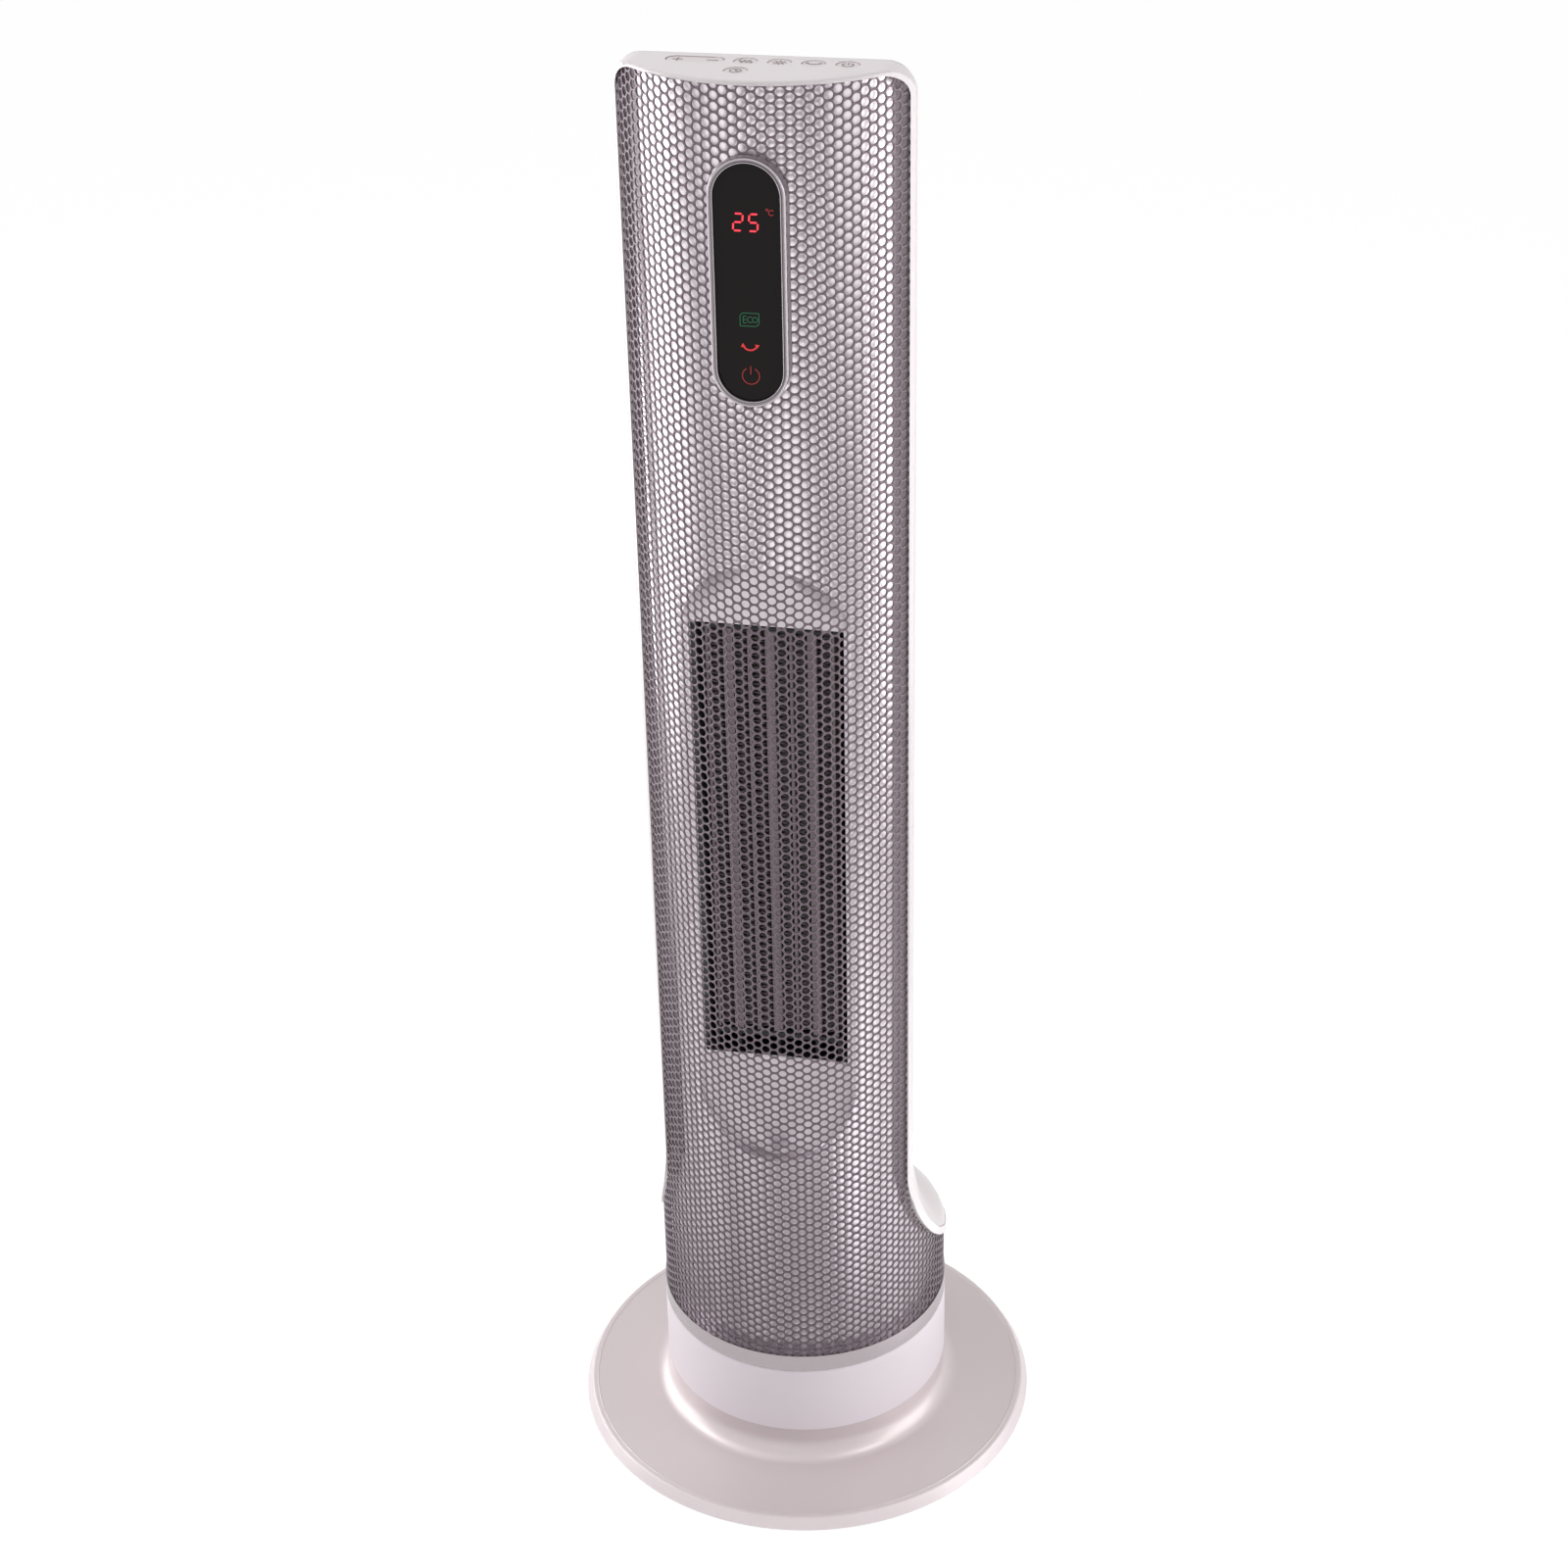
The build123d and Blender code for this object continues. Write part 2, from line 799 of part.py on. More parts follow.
# Turntable, trim band and swing motor
def make_turntable():
    hub_low = slide_top + seam_gap
    table = disc(mesh_radius - turntable_inset, turntable_bottom, turntable_top)
    table = table + ring(
        mesh_radius - turntable_inset, mesh_radius - turntable_inset - turntable_wall, turntable_bottom,
        band_top
    )
    lip = inner_radius - inner_wall - turntable_lip_gap
    table = table + (
        ring(lip, lip - turntable_lip_wall, turntable_bottom, tower_bottom + turntable_lip_height)
    )
    table = table + disc(hub_radius, hub_low, retainer_bottom - seam_gap)
    for x, y in around(turntable_rib_count, 1):
        if x > -0.5:
            rib = block(
                hub_radius - overrun, lip - turntable_lip_wall / 2, -turntable_rib_thickness / 2,
                turntable_rib_thickness / 2, turntable_top - press_gap, turntable_top + turntable_rib_height
            )
            table = table + Rot(0, 0, math.degrees(math.atan2(y, x))) * rib
    motor_base = retainer_bottom + retainer_thickness + screw_head_height + motor_lift
    for side in (-1, 1):
        table = table + disc(
            motor_ear_radius, turntable_top - press_gap, motor_base, -pinion_distance, side * motor_ear_span
        )
        table = table - disc(
            screw_radius + press_gap, turntable_top, total_height, -pinion_distance, side * motor_ear_span
        )
    table = table - disc(post_radius + running_gap, 0, total_height)
    table = table - disc(pinion_shaft_radius + pinion_hole_gap, 0, total_height, -pinion_distance, 0)
    export("turntable", table)
    band_inner = mesh_radius - turntable_inset + press_gap
    band = ring(drum_radius - press_gap, band_inner, band_bottom, band_top)
    export("trim_band", band)
    can = disc(motor_can_radius, motor_base + press_gap, motor_base + motor_can_height, -pinion_distance, 0)
    can = fillet(can.edges().group_by(Axis.Z)[-1], motor_can_round)
    ears = block(
        -pinion_distance - motor_ear_radius, -pinion_distance + motor_ear_radius, -motor_ear_span,
        motor_ear_span, motor_base + press_gap, motor_base + press_gap + motor_ear_thickness
    )
    screws = []
    for side in (-1, 1):
        y = side * motor_ear_span
        ears = ears + disc(
            motor_ear_radius, motor_base + press_gap, motor_base + press_gap + motor_ear_thickness,
            -pinion_distance, y
        )
        ears = ears - disc(screw_radius + press_gap, 0, total_height, -pinion_distance, y)
        screws.append(
            screw_down(
                -pinion_distance, y, motor_base + motor_ear_thickness + 2 * press_gap, motor_screw_length
            )
        )
    shaft_hole = disc(
        pinion_shaft_radius + press_gap, 0, motor_base + pinion_shaft_length + seam_gap, -pinion_distance, 0
    )
    export("swing_motor", can + ears - shaft_hole)
    export("motor_screws", group(screws))
    pinion = gear_form(
        pinion_teeth, gear_bottom + pinion_side_gap, gear_top - pinion_side_gap, 180.0 / pinion_teeth
    )
    pinion = Pos(-pinion_distance, 0, 0) * pinion
    shaft = disc(
        pinion_shaft_radius, gear_top - pinion_side_gap - overrun, motor_base + pinion_shaft_length,
        -pinion_distance, 0
    )
    export("swing_pinion", pinion + shaft)


# Front of the tower: frame, perforated mesh and inner shell
def make_front():
    body = disc(frame_radius, tower_bottom, total_height)
    form = front_outline() & fillet(body.edges().group_by(Axis.Z)[-1], top_edge_round)
    rim = (
        form - disc(inner_radius - inner_wall, 0, total_height + overrun)
    ) & (front_region(rim_depth) - front_region(0))
    cap = (form - front_outline(top_thickness)) & front_region(rim_depth)
    frame = rim + cap
    for x, y in key_places().values():
        frame = frame - disc(key_radius + key_gap, key_board_top, total_height + overrun, x, y)
    middle = (rocker_left + rocker_right) / 2
    half_width = (rocker_right - rocker_left) / 2
    well = SlotOverall(2 * (half_width + rocker_gap), 2 * (rocker_half_depth + rocker_gap))
    frame = frame - Pos(middle, key_row_y, key_board_top) * extrude(well, amount=key_board_drop + overrun)
    axis_height = total_height - rocker_axis_drop
    for side in (-1, 1):
        near = key_row_y + side * (rocker_half_depth + rocker_gap + press_gap)
        far = near + side * lug_thickness
        lug = block(
            middle - lug_half_width, middle + lug_half_width, min(near, far), max(near, far),
            axis_height - lug_half_width, plate_under + press_gap
        )
        frame = frame + lug
    frame = frame - rod_y(
        rocker_pin_radius + running_gap, middle, axis_height, key_row_y - rocker_width_limit,
        key_row_y + rocker_width_limit
    )
    for x, y in board_bosses:
        boss = disc(key_boss_radius, key_board_top + press_gap, plate_under + press_gap, x, y)
        frame = frame + boss - disc(
            board_screw_radius + press_gap, key_board_top, key_board_top + board_screw_length, x, y
        )
    export("front_frame", frame)

    mesh = ring(
        mesh_radius, mesh_radius - mesh_thickness, tower_bottom, mesh_top
    ) & front_region(-mesh_edge_gap)
    mesh = mesh & front_outline(top_thickness + seam_gap)
    cut = stadium_y(
        display_half_width + display_gap, display_bottom - display_gap, display_top + display_gap,
        -plate_radius, 0
    )
    export("mesh_front", mesh - cut)

    shell = ring(
        inner_radius, inner_radius - inner_wall, tower_bottom, mesh_top - inner_top_gap
    ) & front_region(0)
    recess = stadium_y(recess_half_width, recess_bottom, recess_top, -plate_radius, 0)
    wide = stadium_y(
        recess_half_width + inner_wall, recess_bottom - inner_wall, recess_top + inner_wall, -plate_radius,
        recess_plane + inner_wall
    )
    pocket = (wide & disc(inner_radius, tower_bottom, mesh_top)) - stadium_y(
        recess_half_width, recess_bottom, recess_top, -plate_radius, recess_plane
    )
    shell = shell - recess + pocket
    window = block(-window_half_width, window_half_width, -plate_radius, 0, window_bottom, window_top)
    window = fillet(window.edges().filter_by(Axis.Y), window_round)
    shell = shell - window
    shell = shell - stadium_y(
        display_half_width - display_hole_inset, display_bottom + display_hole_inset,
        display_top - display_hole_inset, -plate_radius, 0
    )
    limit = disc(inner_radius - inner_wall / 2, tower_bottom, mesh_top)
    for x in (-column_spread, column_spread):
        for z in column_heights:
            boss = rod_y(column_radius, x, z, -inner_radius, column_end - press_gap) & limit
            shell = shell + boss - rod_y(
                rear_screw_radius + press_gap, x, z, column_end - rear_screw_length, 0
            )
    for x, z in main_board_posts():
        shell = shell + (rod_y(board_post_radius, x, z, -inner_radius, board_y - press_gap) & limit)
        shell = shell - rod_y(board_screw_radius + press_gap, x, z, board_y - board_screw_length, 0)
    export("inner_shell", shell)


def key_places():
    names = ("key_heat", "key_mode", "key_swing", "key_power")
    places = {name: (key_row_start + i * key_pitch, key_row_y) for i, name in enumerate(names)}
    places["key_timer"] = (timer_x, timer_y)
    return places


def main_board_posts():
    x = board_half_width - board_post_inset
    return [
        (side * x, z)
        for side in (-1, 1) for z in (board_bottom + board_post_inset, board_top - board_post_inset)
    ]


# Rear housing, grille and filter
def make_rear():
    outer = rear_form(0)
    shell = outer - rear_form(shell_wall)
    inner_back = back_plane - shell_wall
    opening = block(-grille_half_width, grille_half_width, 0, back_plane + overrun, grille_bottom, grille_top)
    opening = fillet(opening.edges().filter_by(Axis.Y), grille_round)
    ledge = block(
        -grille_half_width - ledge_width, grille_half_width + ledge_width, inner_back - ledge_thickness,
        inner_back + press_gap, grille_bottom - ledge_width, grille_top + ledge_width
    )
    gap = block(
        ledge_width - grille_half_width, grille_half_width - ledge_width, 0, back_plane + overrun,
        grille_bottom + ledge_width, grille_top - ledge_width
    )
    shell = shell - opening + ((ledge & outer) - gap)
    shell = shell - front_region(rim_depth + seam_gap)
    for x in (-column_spread, column_spread):
        for z in column_heights:
            column = rod_y(column_radius, x, z, column_end, back_plane + overrun) & outer_slab(outer, x, z)
            shell = shell + column
            shell = shell - rod_y(screw_head_radius, x, z, column_end + column_floor, back_plane + overrun)
            shell = shell - rod_y(rear_screw_radius + press_gap, x, z, column_end - overrun, back_plane)
    tall = switch_half_height + seam_gap
    wide = switch_half_width + seam_gap
    shell = shell - block(-wide, wide, back_plane, plate_radius, switch_height - tall, switch_height + tall)
    export("rear_shell", shell)

    grille_edge = grille_half_width - seam_gap
    grille = block(
        -grille_edge, grille_edge, back_plane - grille_thickness, back_plane, grille_bottom + seam_gap,
        grille_top - seam_gap
    )
    grille = fillet(grille.edges().filter_by(Axis.Y), grille_round - seam_gap)
    rows = int((grille_top - grille_bottom - 2 * slot_gap) // slot_pitch)
    first = (grille_top + grille_bottom) / 2 - (rows - 1) * slot_pitch / 2
    for i in range(rows):
        z = first + i * slot_pitch
        for side in (-1, 1):
            x = side * (slot_gap + slot_width) / 2
            grille = grille - block(
                x - slot_width / 2, x + slot_width / 2, 0, back_plane + overrun, z - slot_height / 2,
                z + slot_height / 2
            )
    export("rear_grille", grille)
    filter_edge = grille_half_width - ledge_width - seam_gap
    panel = block(
        -filter_edge, filter_edge, inner_back - filter_thickness, inner_back,
        grille_bottom + ledge_width + seam_gap, grille_top - ledge_width - seam_gap
    )
    export("dust_filter", panel)
    screws = []
    for x in (-column_spread, column_spread):
        for z in column_heights:
            seat = column_end + column_floor + press_gap
            head = rod_y(screw_head_radius - seam_gap, x, z, seat, seat + screw_head_height)
            screws.append(
                head + rod_y(
                    rear_screw_radius, x, z, column_end - rear_screw_length + seam_gap, seat + press_gap
                )
            )
    export("rear_screws", group(screws))


def outer_slab(outer, x, z):
    reach = 2 * column_radius
    return outer & block(x - reach, x + reach, -plate_radius, plate_radius, z - reach, z + reach)


# Air duct, heater and safety parts
def make_duct():
    c = rotor_center_y
    half = window_half_width

    def polar(radius, degrees):
        return (radius * math.cos(math.radians(degrees)), c + radius * math.sin(math.radians(degrees)))

    back = recess_plane + inner_wall + press_gap
    flange_back = back + duct_flange_thickness
    front = flange_back - press_gap
    end_y = c - scroll_end_drop
    scroll = [
        (polar(rotor_radius + scroll_end_gap + extra, 180 - scroll_end_angle),
         polar(rotor_radius + scroll_mid_gap + extra, 180 - scroll_mid_angle),
         (-half - extra, end_y))
        for extra in (0, duct_wall)
    ]
    inner, outer = scroll
    left = make_face(Wire([
        ThreePointArc(*inner),
        Line(inner[2], (-half, front)),
        Line((-half, front), (-half - duct_wall, front)),
        Line((-half - duct_wall, front), outer[2]),
        ThreePointArc(outer[2], outer[1], outer[0]),
        Line(outer[0], inner[0]),
    ]))
    tip = polar(rotor_radius + tongue_gap, tongue_angle + 120)
    knee = end_y - tongue_drop
    right = make_face(
        Polyline(
            tip, (half, knee), (half, front), (half + duct_wall, front),
            (half + duct_wall, knee + duct_wall / 2), (tip[0] + duct_wall / 2, tip[1] + duct_wall),
            close=True
        )
    )
    low = duct_bottom + duct_plate
    high = duct_top - duct_plate
    walls = Pos(0, 0, low - press_gap) * extrude(left, amount=high - low + 2 * press_gap)
    walls = walls + Pos(0, 0, low - press_gap) * extrude(right, amount=high - low + 2 * press_gap)
    fill = make_face(Wire([ThreePointArc(*outer), Line(outer[2], (0, end_y)), Line((0, end_y), outer[0])]))
    duct = walls
    for bottom in (duct_bottom, high):
        top = bottom + duct_plate
        plate = block(-half - duct_wall, half + duct_wall, front, end_y, bottom, top)
        plate = plate + disc(rotor_radius + scroll_end_gap + duct_wall, bottom, top, 0, c)
        plate = plate + Pos(0, 0, bottom) * extrude(fill, amount=duct_plate)
        duct = duct + plate
    edge = half + duct_flange
    flange = block(-edge, edge, back, flange_back, duct_bottom, duct_top) - block(
        -half, half, back - overrun, flange_back + overrun, low, high
    )
    duct = duct + flange
    duct = duct - disc(shaft_radius + shaft_hole_gap, 0, duct_bottom + duct_plate + overrun, 0, c)
    duct = duct - disc(bush_radius + press_gap, high - overrun, total_height, 0, c)
    for side in (-1, 1):
        duct = duct - disc(pillar_radius + press_gap, 0, duct_bottom + pillar_sink, side * pillar_spread, c)
    export("air_duct", duct)
    bush = disc(bush_radius, high, duct_top + press_gap, 0, c) + disc(
        bush_radius + overrun, duct_top + press_gap, duct_top + bush_collar, 0, c
    )
    export("upper_bush", bush - disc(shaft_radius + running_gap, 0, total_height, 0, c))

    bars = []
    fins = []
    for i in range(-column_count // 2, column_count // 2 + 1):
        width = bar_width if i % 2 == 0 else plate_width
        x = i * bar_pitch
        bars.append(block(x - width / 2, x + width / 2, heater_front, heater_back, heater_bottom, heater_top))
    rows = int((heater_top - heater_bottom - 2 * fin_margin) // fin_pitch)
    first = (heater_top + heater_bottom) / 2 - (rows - 1) * fin_pitch / 2
    for i in range(-column_count // 2, column_count // 2):
        left_width = bar_width if i % 2 == 0 else plate_width
        right_width = plate_width if i % 2 == 0 else bar_width
        x0 = i * bar_pitch + left_width / 2 + press_gap
        x1 = (i + 1) * bar_pitch - right_width / 2 - press_gap
        for j in range(rows):
            z = first + j * fin_pitch
            fins.append(
                block(
                    x0, x1, heater_front + fin_margin, heater_back - fin_margin, z - fin_thickness / 2,
                    z + fin_thickness / 2
                )
            )
    export("heater_bars", group(bars))
    export("heater_fins", group(fins))
    width = column_count / 2 * bar_pitch + bar_width / 2
    brackets = []
    for bottom, top in (
        (low + press_gap, heater_bottom - press_gap), (heater_top + press_gap, high - press_gap)
    ):
        y0 = heater_front - bracket_depth_gap
        y1 = heater_back + bracket_depth_gap
        body = block(-width, width, y0, y1, bottom, top)
        pocket = block(
            -width + bracket_rib, width - bracket_rib, y0 - overrun, y1 + overrun, bottom + bracket_rib,
            top - bracket_lip
        )
        post_half = bracket_rib / 2
        posts = [
            block(k * bar_pitch * 2 - post_half, k * bar_pitch * 2 + post_half, y0, y1, bottom, top)
            for k in (-1, 0, 1)
        ]
        brackets.append(body - pocket + posts)
    export("heater_brackets", group(brackets))
    cutout = disc(cutout_radius, duct_top + press_gap, duct_top + cutout_height, cutout_x, cutout_y)
    cutout = cutout + disc(
        cutout_radius - overrun, duct_top + cutout_height, duct_top + cutout_height + cutout_tab_thickness,
        cutout_x, cutout_y
    )
    for side in (-1, 1):
        x = cutout_x + side * cutout_tab
        cutout = cutout + block(
            x, x + cutout_tab_thickness, cutout_y - cutout_tab / 2, cutout_y + cutout_tab / 2,
            duct_top + cutout_height, duct_top + cutout_height + cutout_tab
        )
    export("thermal_cutout", cutout)
    fuse_z = duct_top + fuse_radius + press_gap
    fuse = rod_x(fuse_radius, cutout_y, fuse_z, -cutout_x - fuse_length / 2, -cutout_x + fuse_length / 2)
    fuse = fuse + rod_x(fuse_lead, cutout_y, fuse_z, -cutout_x - fuse_length, -cutout_x + fuse_length)
    export("thermal_fuse", fuse)


# Blower wheel with its shaft, and the motor that hangs below the duct
def make_blower():
    c = rotor_center_y
    wheel = disc(rotor_radius, rotor_bottom, rotor_bottom + rotor_disc, 0, c)
    for i in range(1, rotor_disc_count):
        top = rotor_bottom + rotor_length * i / (rotor_disc_count - 1)
        plate = disc(rotor_radius, top - rotor_disc, top, 0, c)
        if i < rotor_disc_count - 1:
            plate = plate - disc(rotor_radius - blade_width - 2 * blade_edge, 0, total_height, 0, c)
        wheel = wheel + plate
    for bottom in (rotor_bottom, rotor_top - rotor_hub_height):
        wheel = wheel + disc(rotor_hub_radius, bottom, bottom + rotor_hub_height, 0, c)
    near = rotor_radius - blade_edge - blade_width
    far = rotor_radius - blade_edge
    mid = (near + far) / 2
    blade = make_face(Wire([
        ThreePointArc((near, 0), (mid, blade_bow), (far, 0)),
        Line((far, 0), (far, blade_thickness)),
        ThreePointArc((far, blade_thickness), (mid, blade_bow + blade_thickness), (near, blade_thickness)),
        Line((near, blade_thickness), (near, 0)),
    ]))
    blade = Pos(0, 0, rotor_bottom + press_gap) * extrude(blade, amount=rotor_length - 2 * press_gap)
    blades = [Pos(0, c, 0) * Rot(0, 0, 360.0 * i / blade_count) * blade for i in range(blade_count)]
    wheel = wheel + blades
    export("blower_rotor", wheel - disc(shaft_radius + press_gap, 0, total_height, 0, c))
    core_bottom = core_top - core_height
    shaft_low = core_bottom - strap_gap - strap_thickness - strap_boss_height - shaft_below
    shaft = disc(shaft_radius, shaft_low, duct_top + shaft_stub, 0, c)
    lift = (motor_rotor_height - core_height) / 2
    shaft = shaft + disc(motor_rotor_radius, core_bottom - lift, core_top + lift, 0, c)
    export("blower_shaft", shaft)

    core = block(
        -core_half_width, core_half_width, c - core_half_depth, c + core_half_depth + coil_leg, core_bottom,
        core_top
    )
    core = core - disc(core_bore, 0, total_height, 0, c)
    slot_front = c + core_bore + core_window / 2
    slot_back = slot_front + core_window
    core = core - block(-coil_width, coil_width, slot_front, slot_back, 0, total_height)
    for side in (-1, 1):
        core = core - disc(pillar_radius + press_gap, 0, total_height, side * pillar_spread, c)
    export("motor_core", core)
    leg_back = c + core_half_depth + coil_leg
    coil = block(
        -coil_width + seam_gap, coil_width - seam_gap, slot_front + seam_gap, leg_back + coil_build,
        core_bottom - coil_build, core_top + coil_build
    )
    coil = fillet(coil.edges().filter_by(Axis.X), coil_round)
    coil = coil - block(
        -core_half_width, core_half_width, slot_back - press_gap, leg_back + press_gap,
        core_bottom - press_gap, core_top + press_gap
    )
    export("motor_coil", coil)
    straps = []
    low_plate = (core_bottom - strap_gap - strap_thickness, core_bottom - strap_gap)
    high_plate = (core_top + strap_gap, core_top + strap_gap + strap_thickness)
    for bottom, top in (low_plate, high_plate):
        strap = block(
            -pillar_spread - pillar_radius - overrun, pillar_spread + pillar_radius + overrun,
            c - strap_half_depth, c + strap_half_depth, bottom, top
        )
        straps.append(strap)
    frame = straps[0] + straps[1]
    frame = frame + disc(strap_boss_radius, low_plate[0] - strap_boss_height, low_plate[1], 0, c)
    frame = frame + disc(strap_boss_radius, high_plate[0], high_plate[1] + strap_boss_height, 0, c)
    for side in (-1, 1):
        frame = frame + disc(
            pillar_radius, low_plate[0], duct_bottom + pillar_sink - press_gap, side * pillar_spread, c
        )
        for bottom, top in (
            (low_plate[1], core_bottom - press_gap), (core_top + press_gap, high_plate[0]),
            (high_plate[1], duct_bottom - press_gap)
        ):
            frame = frame + disc(pillar_radius + overrun, bottom, top, side * pillar_spread, c)
    export("motor_straps", frame - disc(shaft_radius + running_gap, 0, total_height, 0, c))


# Display stack behind the slot in the mesh
def make_display():
    lens_front = display_face + lens_depth
    module_front = lens_front + lens_thickness + press_gap
    board_front = module_front + module_thickness + press_gap
    board_back = board_front + display_board_thickness
    hollow = display_half_width - bezel_width

    def slot(inset, front, back):
        return stadium_y(display_half_width - inset, display_bottom + inset, display_top - inset, front, back)

    bezel = slot(0, display_face, -display_inner_depth)
    bezel = fillet(bezel.edges().group_by(Axis.Y)[0], bezel_round)
    bezel = bezel - slot(
        bezel_width, -plate_radius, board_back + press_gap
    ) - slot(bezel_width + ledge_width, -plate_radius, 0)
    bezel = bezel - disc(inner_radius + display_seat, tower_bottom, total_height)
    export("display_bezel", bezel)
    export("display_lens", slot(bezel_width + press_gap, lens_front, lens_front + lens_thickness))
    module = block(
        -module_half_width, module_half_width, module_front, module_front + module_thickness,
        display_bottom + hollow, display_top - hollow
    )
    export("display_module", module)
    export("display_board", slot(bezel_width + press_gap, board_front, board_back))


# Keys on the top panel and the board below them
def make_keys():
    stem_low = key_board_top + tact_height + tact_button_height + key_travel + key_stem_gap
    switches = []
    for name, (x, y) in key_places().items():
        cap = disc(key_radius, mesh_top - key_skirt_height, key_top, x, y)
        cap = fillet(cap.edges().group_by(Axis.Z)[-1], key_round)
        cap = cap + disc(key_radius + key_skirt, mesh_top - key_skirt_height, mesh_top, x, y)
        export(name, cap + disc(key_stem_radius, stem_low, mesh_top - key_skirt_height, x, y))
        switches.append((x, y))
    middle = (rocker_left + rocker_right) / 2
    width = rocker_right - rocker_left
    pad = extrude(SlotOverall(width, 2 * rocker_half_depth), amount=rocker_height)
    pad = fillet(pad.edges().group_by(Axis.Z)[-1], key_round)
    pad = Pos(middle, key_row_y, key_top - rocker_height) * pad
    axis_height = total_height - rocker_axis_drop
    reach = rocker_half_depth + rocker_pin_length
    pad = pad + rod_y(rocker_pin_radius, middle, axis_height, key_row_y - reach, key_row_y + reach)
    for side in (-1, 1):
        x = middle + side * rocker_stub_spread
        pad = pad + disc(key_stem_radius, stem_low, key_top - rocker_height + overrun, x, key_row_y)
        switches.append((x, key_row_y))
    export("plus_minus_key", pad)
    limit = inner_radius - inner_wall - key_board_round_gap
    board = disc(limit, key_board_top - board_thickness, key_board_top)
    board = board & block(
        -key_board_half_width, key_board_half_width, -plate_radius, key_board_back,
        key_board_top - board_thickness, key_board_top
    )
    screws = []
    for x, y in board_bosses:
        board = board - disc(board_screw_radius + press_gap, 0, total_height, x, y)
        head = disc(
            board_screw_head, key_board_top - board_thickness - board_screw_head,
            key_board_top - board_thickness - press_gap, x, y
        )
        screws.append(
            head + disc(
                board_screw_radius, key_board_top - board_thickness - overrun,
                key_board_top + board_screw_length - seam_gap, x, y
            )
        )
    export("key_board", board)
    tacts = []
    for x, y in switches:
        h = tact_half_width
        tact = block(x - h, x + h, y - h, y + h, key_board_top + press_gap, key_board_top + tact_height)
        tacts.append(
            tact + disc(
                tact_button_radius, key_board_top + tact_height - press_gap,
                key_board_top + tact_height + tact_button_height, x, y
            )
        )
    export("key_switches", group(tacts))
    return screws


# Main board with its relays, transformer and terminal block
def make_board(screws):
    back = board_y + board_thickness
    board = block(-board_half_width, board_half_width, board_y, back, board_bottom, board_top)
    for x, z in main_board_posts():
        board = board - rod_y(board_screw_radius + press_gap, x, z, board_y - overrun, back + overrun)
        head = rod_y(board_screw_head, x, z, back + press_gap, back + board_screw_head)
        screws.append(
            head + rod_y(
                board_screw_radius, x, z, board_y - board_screw_length + seam_gap, back + overrun / 2
            )
        )
    export("main_board", board)
    export("board_screws", group(screws))
    parts = []
    seat = back + press_gap
    low = board_bottom + 2 * board_post_inset + part_spacing
    left = -board_half_width + part_spacing
    for i in range(relay_count):
        x = left + i * (relay_width + part_spacing)
        parts.append(block(x, x + relay_width, seat, seat + relay_depth, low, low + relay_height))
    upper = low + relay_height + part_spacing
    parts.append(
        block(
            left, left + transformer_width, seat, seat + transformer_depth, upper,
            upper + transformer_height
        )
    )
    core_low = upper + (transformer_height - transformer_core) / 2
    parts[-1] = parts[-1] + block(
        left - overrun, left + transformer_width + overrun, seat + part_spacing,
        seat + transformer_depth - part_spacing, core_low, core_low + transformer_core
    )
    x = left + transformer_width + 2 * part_spacing
    block_part = block(x, x + terminal_width, seat, seat + terminal_depth, upper, upper + terminal_height)
    for i in range(terminal_count):
        hole_x = x + terminal_width * (i + 0.5) / terminal_count
        block_part = block_part - rod_y(
            screw_radius, hole_x, upper + terminal_height / 2, seat + terminal_depth / 2,
            seat + terminal_depth + overrun
        )
    parts.append(block_part)
    export("board_parts", group(parts))


